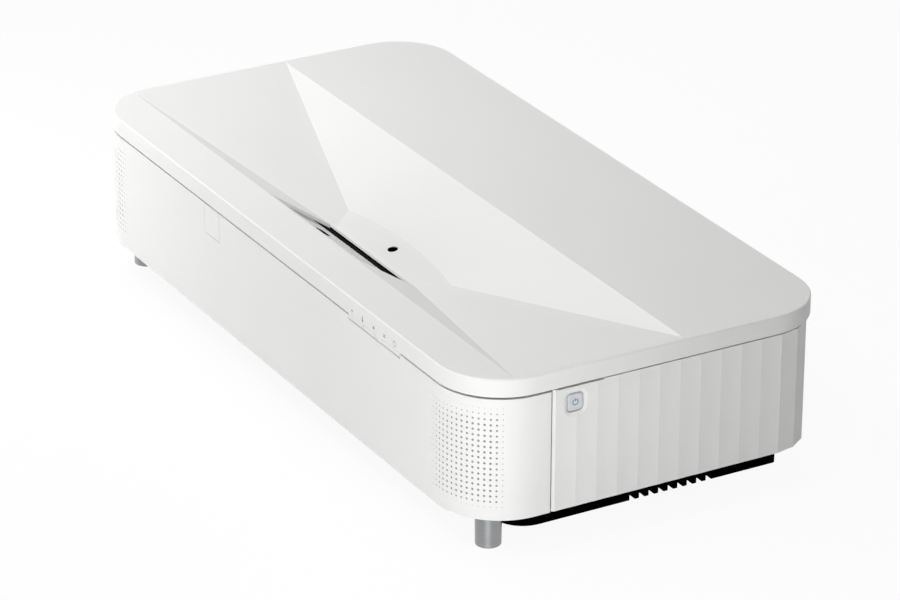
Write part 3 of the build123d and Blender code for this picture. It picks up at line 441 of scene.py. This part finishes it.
# Pad-printed ink on the lid's edge: flat mid grey, slightly broken by the grain under it
greyInk, tree, coords = startFinish("padPrintedGreyInk")
thin = addNode(tree, "ShaderNodeTexNoise", {},
               {"Vector": (coords, "Object"), "Scale": perFeature(0.5), "Detail": 2.0})
tint = addNode(tree, "ShaderNodeMix", {"data_type": "RGBA"},
               {"Factor": (thin, "Fac"), 6: paint("8A8A8C"), 7: paint("A0A0A2")})
shader = addNode(tree, "ShaderNodeBsdfPrincipled", {},
                 {"Base Color": (tint, 2), "Roughness": 0.6, "IOR": 1.5})
closeMaterial(tree, shader)

# Translucent ink over the button's lamp: cool blue grey
blueInk, tree, coords = startFinish("padPrintedBlueInk")
thin = addNode(tree, "ShaderNodeTexNoise", {},
               {"Vector": (coords, "Object"), "Scale": perFeature(0.5), "Detail": 2.0})
tint = addNode(tree, "ShaderNodeMix", {"data_type": "RGBA"},
               {"Factor": (thin, "Fac"), 6: paint("547498"), 7: paint("6A8AAE")})
shader = addNode(tree, "ShaderNodeBsdfPrincipled", {},
                 {"Base Color": (tint, 2), "Roughness": 0.4, "IOR": 1.5})
closeMaterial(tree, shader)

# Speaker cloth behind the holes: grey knit, so the holes read as soft dots
speakerCloth, tree, coords = startFinish("greySpeakerKnit")
knit = addNode(tree, "ShaderNodeTexNoise", {},
               {"Vector": (coords, "Object"), "Scale": perFeature(0.5), "Detail": 2.0})
tint = addNode(tree, "ShaderNodeMix", {"data_type": "RGBA"},
               {"Factor": (knit, "Fac"), 6: paint("8E8E8E"), 7: paint("A4A4A4")})
shader = addNode(tree, "ShaderNodeBsdfPrincipled", {},
                 {"Base Color": (tint, 2), "Roughness": 0.9, "Sheen Weight": 0.2, "IOR": 1.45})
closeMaterial(tree, shader)
print("materials mixed:", len(bpy.data.materials))

# every node takes the finish of its slot in the record
finishes = {
    "white_case": whiteCase, "white_gloss": whiteGloss, "black_base": blackBase,
    "window_glass": windowGlass, "sensor_lens": sensorLens, "foot_metal": footMetal,
    "foot_rubber": footRubber, "zinc_steel": zincSteel, "chassis_steel": chassisSteel,
    "socket_metal": socketMetal, "black_plastic": blackPlastic, "board_green": boardGreen,
    "engine_cast": engineCast, "fin_aluminium": finAluminium, "lens_glass": lensGlass,
    "mirror_face": mirrorFace, "wheel_phosphor": wheelPhosphor,
}
for part in frame["record"]["subparts"]:
    mesh = nodes[part["node"]].data
    mesh.materials.clear()
    mesh.materials.append(finishes[part["material_slot"]])
nodes["window_bezel"].data.materials[0] = blackFlock       # light trap beside the glass
nodes["power_button"].data.materials[0] = buttonWhite
for panel in ("side_panel_left", "side_panel_right"):
    nodes[panel].data.materials[0] = pleatedCase
print("finishes put on the frame")


# puts a mesh into the scene, riding on a body: faces turned outwards, edges past the crease angle sharp
def placePiece(name, builder, materials, body, crease=None):
    bmesh.ops.recalc_face_normals(builder, faces=builder.faces[:])
    if crease:
        for edge in builder.edges:
            if len(edge.link_faces) == 2 and edge.calc_face_angle() > math.radians(crease):
                edge.smooth = False
    mesh = bpy.data.meshes.new(name)
    builder.to_mesh(mesh)
    builder.free()
    for material in materials:
        mesh.materials.append(material)
    piece = bpy.data.objects.new(name, mesh)
    bpy.context.scene.collection.objects.link(piece)
    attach(piece, body)
    return piece


# skins a row of closed loops that have the same number of points
def joinRings(mesh, rings, smooth=True):
    for lower, upper in zip(rings, rings[1:]):
        for i in range(len(lower)):
            j = (i + 1) % len(lower)
            mesh.faces.new([lower[i], lower[j], upper[j], upper[i]]).smooth = smooth


# front case: one wall bent round both corners, with graded rows of speaker holes in each corner
caseSettings = {
    "holeColumns": 16, "holeRows": 19,
    "pitchAlong": 4.9, "pitchUp": 4.81,
    "cornerLead": 10.8,         # the first column stands this far before the corner's arc
    "lowestHole": 45.2,
    "holeRadius": 1.1, "edgeRadius": 0.3,
    # start and length of each fade, in holes, from the front, rear, foot and top of the patch
    "fades": ((0.7, 3.5), (0.3, 1.6), (0.2, 1.5), (0.1, 2.6)),
    "holeDepth": 0.4, "holeSides": 12, "rowSlack": 0.01,
    "wall": 3.0, "cornerRadius": 57.0, "wrap": 71.2,
    "lip": 7.0, "lipThick": 2.5,
    "inserts": {"receiver_window": (0.5, 0.5), "indicator_light_guide": (1.0, 1.9)},    # end and foot seams
    "insertFlange": 3.0,
    "frontStep": 40.0, "wrapStep": 20.0, "crease": 30,
}
hair = 1e-4         # millimetres, below which two heights are one
low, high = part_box("front_case")
caseHalf = high.x / mm
caseFront = low.y / mm
caseBottom = low.z / mm
caseTop = high.z / mm
radius = caseSettings["cornerRadius"]
flatHalf = caseHalf - radius
arcLength = radius * math.pi / 2
arcEnd = flatHalf + arcLength
halfRun = arcEnd + caseSettings["wrap"] - radius
lipTop = caseBottom + caseSettings["lipThick"]
thick = caseSettings["wall"]
deep = thick + caseSettings["lip"]
pitchAlong, pitchUp = caseSettings["pitchAlong"], caseSettings["pitchUp"]
firstHole = flatHalf - caseSettings["cornerLead"]
gridStart = firstHole - pitchAlong / 2
gridEnd = gridStart + caseSettings["holeColumns"] * pitchAlong
gridBottom = caseSettings["lowestHole"] - pitchUp / 2


# point on the case at a distance along its outline from the middle, a depth into the wall and a height
def onCase(along, depth, height):
    side = 1 if along >= 0 else -1
    run = abs(along)
    if run <= flatHalf:
        x, y = run, caseFront + depth
    elif run <= arcEnd:
        angle = (run - flatHalf) / radius
        reach = radius - depth
        x = flatHalf + reach * math.sin(angle)
        y = caseFront + radius - reach * math.cos(angle)
    else:
        x = caseHalf - depth
        y = caseFront + radius + run - flatHalf - arcLength
    return Vector((side * x * mm, y * mm, height * mm))


# breaks a span into equal steps no longer than the given step
def steps(start, end, step):
    count = max(1, math.ceil((end - start) / step - hair))
    return [start + (end - start) * i / count for i in range(count)]


# the notches for the two inserts follow the inserts themselves
notches = []
for insert, (endSeam, footSeam) in caseSettings["inserts"].items():
    insertLow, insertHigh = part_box(insert)
    flange = caseSettings["insertFlange"]
    start = insertLow.x / mm + flange - endSeam
    end = insertHigh.x / mm - flange + endSeam
    notchFloor = insertLow.z / mm + flange - footSeam
    notches.append(tuple(round(v, 4) for v in (start, end, notchFloor)))

breaks = steps(0, gridStart, caseSettings["frontStep"]) + steps(gridStart, gridEnd, pitchAlong)
breaks += steps(gridEnd, arcEnd, pitchAlong) + steps(arcEnd, halfRun, caseSettings["wrapStep"]) + [halfRun]
notchEdges = {edge for notch in notches for edge in notch[:2]}
columns = sorted({round(side * b, 4) for b in breaks for side in (-1, 1)} | notchEdges)


# heights that divide a column: its hole rows, and its rim at the top of the wall or the floor of a notch
def columnRows(left, right):
    middle = (left + right) / 2
    rim = next((n[2] for n in notches if n[0] < middle < n[1]), caseTop)
    heights = [caseBottom, lipTop, rim]
    if gridStart < abs(middle) < gridEnd:
        heights += [gridBottom + i * pitchUp for i in range(caseSettings["holeRows"] + 1)]
    return sorted(round(h, 4) for h in heights)


# holes shrink towards the border of the patch, most at its top and its two sides
def holeSize(column, row):
    lastColumn = caseSettings["holeColumns"] - 1
    lastRow = caseSettings["holeRows"] - 1
    borders = (column, lastColumn - column, row, lastRow - row)
    fades = [(b + start) / length for b, (start, length) in zip(borders, caseSettings["fades"])]
    share = min(1, *fades)
    small, large = caseSettings["edgeRadius"], caseSettings["holeRadius"]
    return small + (large - small) * share


wallMesh = bmesh.new()
known = {}


def casePoint(along, depth, height):
    key = (round(along, 3), round(depth, 3), round(height, 3))
    if key not in known:
        known[key] = wallMesh.verts.new(onCase(along, depth, height))
    return known[key]


def caseFace(points, slotIndex=0):
    face = wallMesh.faces.new([casePoint(*p) for p in points])
    face.material_index = slotIndex
    face.smooth = True


spans = list(zip(columns, columns[1:]))
edgeRows = {edge: set() for edge in columns}
for span in spans:
    for edge in span:
        edgeRows[edge].update(columnRows(*span))


# heights on one upright edge strictly between two others, so that neighbours share every point
def between(edge, bottom, top):
    return [h for h in sorted(edgeRows[edge]) if bottom + hair < h < top - hair]


sides = caseSettings["holeSides"]
quarter = sides // 4
for left, right in spans:
    middle = (left + right) / 2
    rows = columnRows(left, right)
    rim = rows[-1]
    for bottom, top in zip(rows, rows[1:]):
        centre = (bottom + top) / 2
        row = round((centre - caseSettings["lowestHole"]) / pitchUp)
        rising = [(right, h) for h in between(right, bottom, top)]
        falling = [(left, h) for h in between(left, bottom, top)[::-1]]
        edges = [[(left, bottom)], [(right, bottom)] + rising, [(right, top)], [(left, top)] + falling]
        inPatch = len(rows) > 3 and 0 <= row < caseSettings["holeRows"]
        if not inPatch or abs(top - bottom - pitchUp) > caseSettings["rowSlack"]:
            caseFace([(s, 0, h) for edge in edges for s, h in edge])
            continue
        size = holeSize(round((abs(middle) - firstHole) / pitchAlong), row)
        ring = []
        for i in range(sides):
            turn = 2 * math.pi * i / sides - math.pi * 3 / 4
            ring.append((middle + size * math.cos(turn), centre + size * math.sin(turn)))
        for i in range(4):
            arc = [ring[(i * quarter + k) % sides] for k in range(quarter + 1)]
            outline = edges[i] + edges[(i + 1) % 4][:1] + arc[::-1]
            caseFace([(s, 0, h) for s, h in outline])
        depth = caseSettings["holeDepth"]
        for a, b in zip(ring, ring[1:] + ring[:1]):
            caseFace([(a[0], 0, a[1]), (b[0], 0, b[1]), (b[0], depth, b[1]), (a[0], depth, a[1])])
        caseFace([(s, depth, h) for s, h in ring], 1)
    # inside of the wall, its rim and the lip along its foot
    inside = [(left, lipTop), (right, lipTop)] + [(right, h) for h in between(right, lipTop, rim)]
    inside += [(right, rim), (left, rim)] + [(left, h) for h in between(left, lipTop, rim)[::-1]]
    caseFace([(s, thick, h) for s, h in inside])
    foot = ((thick, lipTop), (deep, lipTop), (deep, caseBottom), (0, caseBottom))
    for near, far in [((0, rim), (thick, rim)), *zip(foot, foot[1:])]:
        caseFace([(left, *near), (right, *near), (right, *far), (left, *far)])
# upright faces at the two ends and beside the notches
for end in (columns[0], columns[-1]):
    caseFace([(end, 0, caseBottom), (end, deep, caseBottom), (end, deep, lipTop), (end, thick, lipTop),
              (end, 0, lipTop)])
    caseFace([(end, 0, lipTop), (end, thick, lipTop), (end, thick, caseTop), (end, 0, caseTop)])
for start, end, notchFloor in notches:
    for edge in (start, end):
        caseFace([(edge, 0, notchFloor), (edge, thick, notchFloor),
                  (edge, thick, caseTop), (edge, 0, caseTop)])
frontCase = placePiece("frontCaseWall", wallMesh, [whiteCase, speakerCloth], "housing",
                       caseSettings["crease"])
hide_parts("front_case")
print("front case walled:", len(frontCase.data.polygons), "faces")

# dark rubber strips sunk in the upright seams between the case and the end panels: painted shade that stands
# in for the shadow inside each gap
seamShadeSettings = {"width": 1.5, "sunk": 1.4, "deep": 5.0, "foot": 3.0, "head": 1.8,
                  "chamfer": 0.4, "steps": 8}
seamShadeMesh = bmesh.new()
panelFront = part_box("side_panel_right")[0].y / mm
seamMiddle = (caseFront + caseSettings["wrap"] + panelFront) / 2
outer = caseHalf - seamShadeSettings["sunk"]
inner = outer - seamShadeSettings["deep"]
half, chamfer, count = seamShadeSettings["width"] / 2, seamShadeSettings["chamfer"], seamShadeSettings["steps"]
profile = [(inner, -half), (outer - chamfer, -half), (outer, -half + chamfer), (outer, half - chamfer),
           (outer - chamfer, half), (inner, half)]
seamShadeFoot = caseBottom + seamShadeSettings["foot"]
for side in (-1, 1):
    rings = []
    for i in range(count + 1):
        height = seamShadeFoot + i / count * (caseTop - seamShadeSettings["head"] - seamShadeFoot)
        rings.append([seamShadeMesh.verts.new((side * x * mm, (seamMiddle + y) * mm, height * mm))
                      for x, y in profile])
    joinRings(seamShadeMesh, rings, smooth=False)
    seamShadeMesh.faces.new(rings[0])
    seamShadeMesh.faces.new(rings[-1])
# painted shade: each strip darkens its seam in place of the gap's own shadow
placePiece("seamShadeStrips", seamShadeMesh, [footRubber], "housing")
print("seams packed")


# flat plate of a given outline, standing a thickness proud of the surface that place() describes
def addPlate(mesh, outline, place, thickness):
    front = [mesh.verts.new(place(u, v, thickness)) for u, v in outline]
    back = [mesh.verts.new(place(u, v, 0)) for u, v in outline]
    mesh.faces.new(front)
    mesh.faces.new(back[::-1])
    for i in range(len(outline)):
        j = (i + 1) % len(outline)
        mesh.faces.new([front[i], back[i], back[j], front[j]])


# points on a circle or part of one, in degrees
def arcPoints(centre, size, start, end, count):
    turns = [math.radians(start + (end - start) * i / count) for i in range(count + 1)]
    return [(centre[0] + size * math.cos(t), centre[1] + size * math.sin(t)) for t in turns]


# upright rectangle as an outline
def boxOutline(left, right, foot, head):
    return [(left, foot), (right, foot), (right, head), (left, head)]


# open ring as one outline: out along its outside and back along its inside
def ringOutline(centre, outer, inner, start, end, count):
    return arcPoints(centre, outer, start, end, count) + arcPoints(centre, inner, start, end, count)[::-1]


lidLow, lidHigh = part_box("top_cover")
lidFront = lidLow.y / mm
lidTop = lidHigh.z / mm

# the window's glass lies sunk in the lid's front slope, which starts behind a flat strip
windowSettings = {"strip": 40.0, "slope": 34.8, "sunk": 2.5}
slope = math.radians(windowSettings["slope"])


# point on the window: across, down the slope and up from the glass
def onWindow(across, down, rise):
    up = rise - windowSettings["sunk"]
    y = lidFront + windowSettings["strip"] + down * math.cos(slope) + up * math.sin(slope)
    z = lidTop - down * math.sin(slope) + up * math.cos(slope)
    return Vector((across * mm, y * mm, z * mm))


# black tab on the glass, at the window's near edge
tabSettings = {"middle": -16.1, "length": 12.8, "near": 22.0, "far": 31.5, "thick": 0.3,
               "corner": 1.2, "facets": 4}
tabMesh = bmesh.new()
corner = tabSettings["corner"]
halfTab = tabSettings["length"] / 2 - corner
nearRow, farRow = tabSettings["near"] + corner, tabSettings["far"] - corner
tabOutline = []
for side, row, start in ((1, nearRow, -90), (1, farRow, 0), (-1, farRow, 90), (-1, nearRow, 180)):
    tabOutline += arcPoints((tabSettings["middle"] + side * halfTab, row), corner, start, start + 90,
                            tabSettings["facets"])
addPlate(tabMesh, tabOutline, onWindow, tabSettings["thick"])
placePiece("windowTab", tabMesh, [blackFlock], "housing")

# black strip stuck along the foot of the opening's lower wall
linerSettings = {"half": 71.1, "down": 69.45, "height": 1.1, "thick": 0.15, "clear": 0.02}


def onLowerWall(across, rise, off):
    return onWindow(across, linerSettings["down"] - off, rise)


linerMesh = bmesh.new()
addPlate(linerMesh, boxOutline(-linerSettings["half"], linerSettings["half"],
                               linerSettings["clear"], linerSettings["height"]),
         onLowerWall, linerSettings["thick"])
placePiece("windowLiner", linerMesh, [blackFlock], "housing")

# white bead down each end of the opening: a soft slope from the lid's skin to the glass
beadSettings = {"start": 5.7, "end": 69.2, "halfStart": 78.95, "halfEnd": 71.24,
                "wideStart": 3.0, "wideEnd": 2.4, "clear": 0.03, "swell": 1.12,
                "steps": 20, "facets": 8, "crease": 30}
beadMesh = bmesh.new()
clear = beadSettings["clear"]
beadTall = windowSettings["sunk"] - clear
for side in (-1, 1):
    rings = []
    for i in range(beadSettings["steps"] + 1):
        share = i / beadSettings["steps"]
        down = beadSettings["start"] + share * (beadSettings["end"] - beadSettings["start"])
        reach = beadSettings["halfStart"] + share * (beadSettings["halfEnd"] - beadSettings["halfStart"])
        wide = beadSettings["wideStart"] + share * (beadSettings["wideEnd"] - beadSettings["wideStart"])
        profile = [(reach, clear)]
        for k in range(beadSettings["facets"] + 1):
            inward = k / beadSettings["facets"]
            rise = max(clear, beadTall * (1 - inward ** beadSettings["swell"]))
            profile.append((reach - wide * inward, rise))
        rings.append([beadMesh.verts.new(onWindow(side * x, down, rise)) for x, rise in profile])
    joinRings(beadMesh, rings)
    beadMesh.faces.new(rings[0])
    beadMesh.faces.new(rings[-1])
placePiece("windowBeads", beadMesh, [whiteCase], "housing", beadSettings["crease"])
print("window dressed")

# row of printed signs on the lid's edge, above the light guide. Heights count from the row's middle,
# and an arc is its first and last angle and its number of steps.
signSettings = {
    "height": 145.8, "ink": 0.02,
    "lamp": {"along": 149.8, "bulb": 1.1, "bulbUp": 0.4, "arc": (0, 345, 15),
             "capHalf": 0.6, "capFoot": -1.8, "capHead": -1.2},
    "heat": {"along": 167.7, "bulb": 1.3, "bulbUp": -1.4, "arc": (-235, 55, 18),
             "stem": 0.6, "stemUp": 2.4, "stemArc": (0, 180, 8)},
    "beam": {"along": 186.4, "spot": 1.5, "arc": (0, 345, 20)},
    "link": {"along": 204.5, "half": 1.8, "feet": (-1.3, 0.3), "tall": 0.9},
    "ready": {"along": 221.5, "outer": 2.7, "inner": 2.2, "arc": (110, 430, 28),
              "barHalf": 0.25, "barFoot": 1.2, "barHead": 3.0},
}


def onLidEdge(along, height, rise):
    return Vector((along * mm, (lidFront - rise) * mm, height * mm))


z = signSettings["height"]
sign = signSettings["lamp"]
x = sign["along"]
outlines = [arcPoints((x, z + sign["bulbUp"]), sign["bulb"], *sign["arc"]),
            boxOutline(x - sign["capHalf"], x + sign["capHalf"], z + sign["capFoot"], z + sign["capHead"])]
sign = signSettings["heat"]
x = sign["along"]
outlines.append(arcPoints((x, z + sign["bulbUp"]), sign["bulb"], *sign["arc"])
                + arcPoints((x, z + sign["stemUp"]), sign["stem"], *sign["stemArc"]))
sign = signSettings["beam"]
outlines.append(arcPoints((sign["along"], z), sign["spot"], *sign["arc"]))
sign = signSettings["link"]
x = sign["along"]
for foot in sign["feet"]:
    outlines.append(boxOutline(x - sign["half"], x + sign["half"], z + foot, z + foot + sign["tall"]))
sign = signSettings["ready"]
x = sign["along"]
outlines.append(ringOutline((x, z), sign["outer"], sign["inner"], *sign["arc"]))
outlines.append(boxOutline(x - sign["barHalf"], x + sign["barHalf"],
                           z + sign["barFoot"], z + sign["barHead"]))
signMesh = bmesh.new()
for outline in outlines:
    addPlate(signMesh, outline, onLidEdge, signSettings["ink"])
placePiece("lidSigns", signMesh, [greyInk], "housing")

# power sign on the button
buttonSettings = {"outer": 2.8, "inner": 2.05, "arc": (112, 428, 32),
                  "bar": 0.38, "barTop": 3.2, "barFoot": 0.9, "ink": 0.03}
buttonLow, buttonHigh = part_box("power_button")
buttonMiddle = ((buttonLow.y + buttonHigh.y) / 2 / mm, (buttonLow.z + buttonHigh.z) / 2 / mm)


def onButton(across, height, rise):
    return Vector((buttonHigh.x + rise * mm, (buttonMiddle[0] + across) * mm,
                   (buttonMiddle[1] + height) * mm))


powerMesh = bmesh.new()
bar = buttonSettings["bar"]
for outline in (ringOutline((0, 0), buttonSettings["outer"], buttonSettings["inner"], *buttonSettings["arc"]),
                boxOutline(-bar, bar, buttonSettings["barFoot"], buttonSettings["barTop"])):
    addPlate(powerMesh, outline, onButton, buttonSettings["ink"])
placePiece("powerSign", powerMesh, [blueInk], "power_button")
print("signs printed")

# rear sockets: plastic tongues with gold contacts, whose starts and widths are shares of their pitch
socketSettings = {"wall": 0.7, "tongue": 1.2, "tongueInset": 2.1, "skin": 0.06, "depth": 8.8, "back": 0.2,
                  "contacts": {"hdmi_socket": 10, "usb_socket": 4}, "contactThick": 0.05,
                  "contactStart": 0.27, "contactWide": 0.46, "contactBack": 0.3, "contactFront": 0.2}


# block between two corners in millimetres
def addBlock(mesh, low, high, slotIndex=0):
    corners = [mesh.verts.new((x * mm, y * mm, z * mm))
               for x in (low[0], high[0]) for y in (low[1], high[1]) for z in (low[2], high[2])]
    for ring in ((0, 1, 3, 2), (4, 6, 7, 5), (0, 4, 5, 1), (2, 3, 7, 6), (0, 2, 6, 4), (1, 5, 7, 3)):
        face = mesh.faces.new([corners[i] for i in ring])
        face.material_index = slotIndex


# lowest and highest corner of a node, in millimetres
def boxOf(node):
    return [[c / mm for c in corner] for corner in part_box(node)]


wall, skin = socketSettings["wall"], socketSettings["skin"]
for name in [n for n in nodes if n.startswith(tuple(socketSettings["contacts"]))]:
    socketLow, socketHigh = boxOf(name)
    mouth = socketHigh[1]
    back = mouth - socketSettings["depth"]
    x, z = (socketLow[0] + socketHigh[0]) / 2, (socketLow[2] + socketHigh[2]) / 2
    half = (socketHigh[0] - socketLow[0]) / 2 - socketSettings["tongueInset"] + skin
    thin = socketSettings["tongue"] / 2 + skin
    tongueMesh = bmesh.new()
    addBlock(tongueMesh, (x - half, back, z - thin), (x + half, mouth + skin, z + thin))
    addBlock(tongueMesh, (socketLow[0] + wall + skin, back, socketLow[2] + wall + skin),
             (socketHigh[0] - wall - skin, back + socketSettings["back"], socketHigh[2] - wall - skin))
    count = socketSettings["contacts"][name.rsplit("_", 1)[0]]
    pitch = 2 * half / count
    for i in range(count):
        left = x - half + (i + socketSettings["contactStart"]) * pitch
        right = left + socketSettings["contactWide"] * pitch
        for low, high in ((z - thin - socketSettings["contactThick"], z - thin),
                          (z + thin, z + thin + socketSettings["contactThick"])):
            addBlock(tongueMesh, (left, back + socketSettings["contactBack"], low),
                     (right, mouth - socketSettings["contactFront"], high), 1)
    placePiece("tongue_" + name, tongueMesh, [blackPlastic, contactGold], "housing")

# plated ring round the audio jack, with a sleeve into its bore
jackSettings = {"bore": 1.8, "reach": 3.1, "rise": 0.3, "sleeve": 0.2, "deep": 1.5,
                "innerEdge": 0.1, "outerEdge": 0.15, "segments": 36}
jackLow, jackHigh = boxOf("audio_jack")
jackMiddle = ((jackLow[0] + jackHigh[0]) / 2, (jackLow[2] + jackHigh[2]) / 2)
bore, reach, rise, deep = (jackSettings[k] for k in ("bore", "reach", "rise", "deep"))
innerEdge, outerEdge, sleeve = (jackSettings[k] for k in ("innerEdge", "outerEdge", "sleeve"))
profile = [(bore, -deep), (bore, rise - innerEdge), (bore + innerEdge, rise), (reach - outerEdge, rise),
           (reach, rise - outerEdge), (reach, 0), (bore + sleeve, 0), (bore + sleeve, -deep)]
ringMesh = bmesh.new()
rings = []
for i in range(jackSettings["segments"]):
    turn = 2 * math.pi * i / jackSettings["segments"]
    rings.append([ringMesh.verts.new(((jackMiddle[0] + r * math.cos(turn)) * mm, (jackHigh[1] + h) * mm,
                                      (jackMiddle[1] + r * math.sin(turn)) * mm)) for r, h in profile])
joinRings(ringMesh, rings + rings[:1])
placePiece("jackRing", ringMesh, [socketMetal], "housing")

# bright blades in the power inlet
inletSettings = {"socket": 16.0, "pitch": 7.0, "raise": 2.0, "wide": 2.0, "tall": 5.0, "long": 10.0,
                 "clear": 0.05, "edge": 0.03}
inletLow, inletHigh = boxOf("ac_inlet")
inletMiddle = ((inletLow[0] + inletHigh[0]) / 2, (inletLow[2] + inletHigh[2]) / 2)
bladeFoot = inletHigh[1] - inletSettings["socket"]
tip = bladeFoot + inletSettings["long"] + skin
halfWide, halfTall = inletSettings["wide"] / 2 + skin, inletSettings["tall"] / 2 + skin
bladeMesh = bmesh.new()
for across, up in ((-inletSettings["pitch"], 0), (0, inletSettings["raise"]), (inletSettings["pitch"], 0)):
    x, z = inletMiddle[0] + across, inletMiddle[1] + up
    addBlock(bladeMesh, (x - halfWide, bladeFoot + inletSettings["clear"], z - halfTall),
             (x + halfWide, tip, z + halfTall))
bmesh.ops.recalc_face_normals(bladeMesh, faces=bladeMesh.faces[:])
bmesh.ops.bevel(bladeMesh, geom=bladeMesh.edges[:], offset=inletSettings["edge"] * mm,
                segments=1, affect="EDGES")
placePiece("inletBlades", bladeMesh, [socketMetal], "housing")

# pan-head screws with a cross recess, on the rear panel and the socket plate. The dome's steps are shares
# of head and tall, the cross's arm and slot shares of head, its pit's floor a share of tall.
screwSettings = {"head": 2.8, "tall": 1.1, "count": 24,
                 "dome": ((1.0, 0.0), (1.0, 0.35), (0.93, 0.7), (0.78, 0.93), (0.62, 1.0)),
                 "arm": 0.13, "slot": 0.5, "taper": 0.85, "pit": 0.25,
                 "panel": [(-276, 48), (-276, 128), (276, 48), (276, 128)], "plateInset": 13.5}


def addScrew(mesh, middle, faceY):
    def place(u, v, h):
        return Vector(((middle[0] + u) * mm, (faceY + h) * mm, (middle[1] + v) * mm))
    head, tall, count = screwSettings["head"], screwSettings["tall"], screwSettings["count"]
    loops = []
    for reach, rise in screwSettings["dome"]:
        loops.append([mesh.verts.new(place(head * reach * math.cos(2 * math.pi * i / count),
                                           head * reach * math.sin(2 * math.pi * i / count), tall * rise))
                      for i in range(count)])
    joinRings(mesh, loops)
    arm, reach, taper = screwSettings["arm"] * head, screwSettings["slot"] * head, screwSettings["taper"]
    cross = [(arm, reach), (-arm, reach), (-arm, arm), (-reach, arm), (-reach, -arm), (-arm, -arm),
             (-arm, -reach), (arm, -reach), (arm, -arm), (reach, -arm), (reach, arm), (arm, arm)]
    lip = [mesh.verts.new(place(u, v, tall)) for u, v in cross]
    pit = [mesh.verts.new(place(u * taper, v * taper, tall * screwSettings["pit"])) for u, v in cross]
    joinRings(mesh, [lip, pit], smooth=False)
    mesh.faces.new(pit)
    mesh.faces.new(loops[0])
    edges = []
    for ring in (loops[-1], lip):
        edges += [mesh.edges.get((ring[i], ring[(i + 1) % len(ring)])) for i in range(len(ring))]
    bmesh.ops.triangle_fill(mesh, edges=edges, use_beauty=True)


screwMesh = bmesh.new()
for middle in screwSettings["panel"]:
    addScrew(screwMesh, middle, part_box("rear_panel")[1].y / mm)
plateLow, plateHigh = boxOf("port_plate")
plateMiddle = (plateLow[2] + plateHigh[2]) / 2
firstSocket = boxOf("hdmi_socket_1")
for x in ((firstSocket[0][0] + firstSocket[1][0]) / 2 - screwSettings["plateInset"],
          jackMiddle[0] + screwSettings["plateInset"]):
    addScrew(screwMesh, (x, plateMiddle), plateHigh[1])
placePiece("rearScrews", screwMesh, [zincSteel], "housing")
print("rear sockets and screws dressed")

# feet: turned barrels with a softened rim and a cut thread on the stud, which stands above the barrel
footSettings = {"radius": 11.0, "footRadius": 10.7, "rim": 0.5, "rimFacets": 4, "stud": 4.0, "core": 3.4,
                "studTall": {"front": 23.3, "rear": 20.3}, "plainEnd": 1.0, "cap": 0.5,
                "pitch": 1.25, "segments": 72, "crease": 35}
rim, cap, core = footSettings["rim"], footSettings["cap"], footSettings["core"]
pitch, count = footSettings["pitch"], footSettings["segments"]
for corner in ("front_left", "front_right", "rear_left", "rear_right"):
    footLow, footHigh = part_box("foot_" + corner)
    axis = ((footLow.x + footHigh.x) / 2, (footLow.y + footHigh.y) / 2)
    bottom, top = footLow.z / mm, footHigh.z / mm
    shoulder = top - footSettings["studTall"][corner.split("_")[0]]
    inset = footSettings["footRadius"] - rim
    profile = [(cap, bottom), (inset, bottom)]
    for k in range(footSettings["rimFacets"]):
        turn = math.pi / 2 * (k + 1) / footSettings["rimFacets"]
        profile.append((inset + rim * math.sin(turn), bottom + rim - rim * math.cos(turn)))
    profile += [(footSettings["radius"], shoulder - rim), (footSettings["radius"] - rim, shoulder),
                (core, shoulder)]
    threadStart = len(profile)
    turns = int((top - shoulder - footSettings["plainEnd"]) / pitch)
    for i in range(2 * turns):
        profile.append((footSettings["stud"] if i % 2 else core, shoulder + (i + 1) * pitch / 2))
    profile += [(core, top), (cap, top)]
    footMesh = bmesh.new()
    rings = []
    for k, (reach, height) in enumerate(profile):
        threaded = threadStart < k < len(profile) - 2
        ring = []
        for i in range(count):
            lead = pitch * (i / count - 0.5) if threaded else 0
            turn = 2 * math.pi * i / count
            ring.append(footMesh.verts.new((axis[0] + reach * mm * math.cos(turn),
                                            axis[1] + reach * mm * math.sin(turn), (height + lead) * mm)))
        rings.append(ring)
    joinRings(footMesh, rings)
    footMesh.faces.new(rings[0][::-1]).smooth = True
    footMesh.faces.new(rings[-1]).smooth = True
    turnedFoot = placePiece("turnedFoot_" + corner, footMesh, [footMetal], "foot_" + corner,
                            footSettings["crease"])
    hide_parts("foot_" + corner)
print("feet turned")
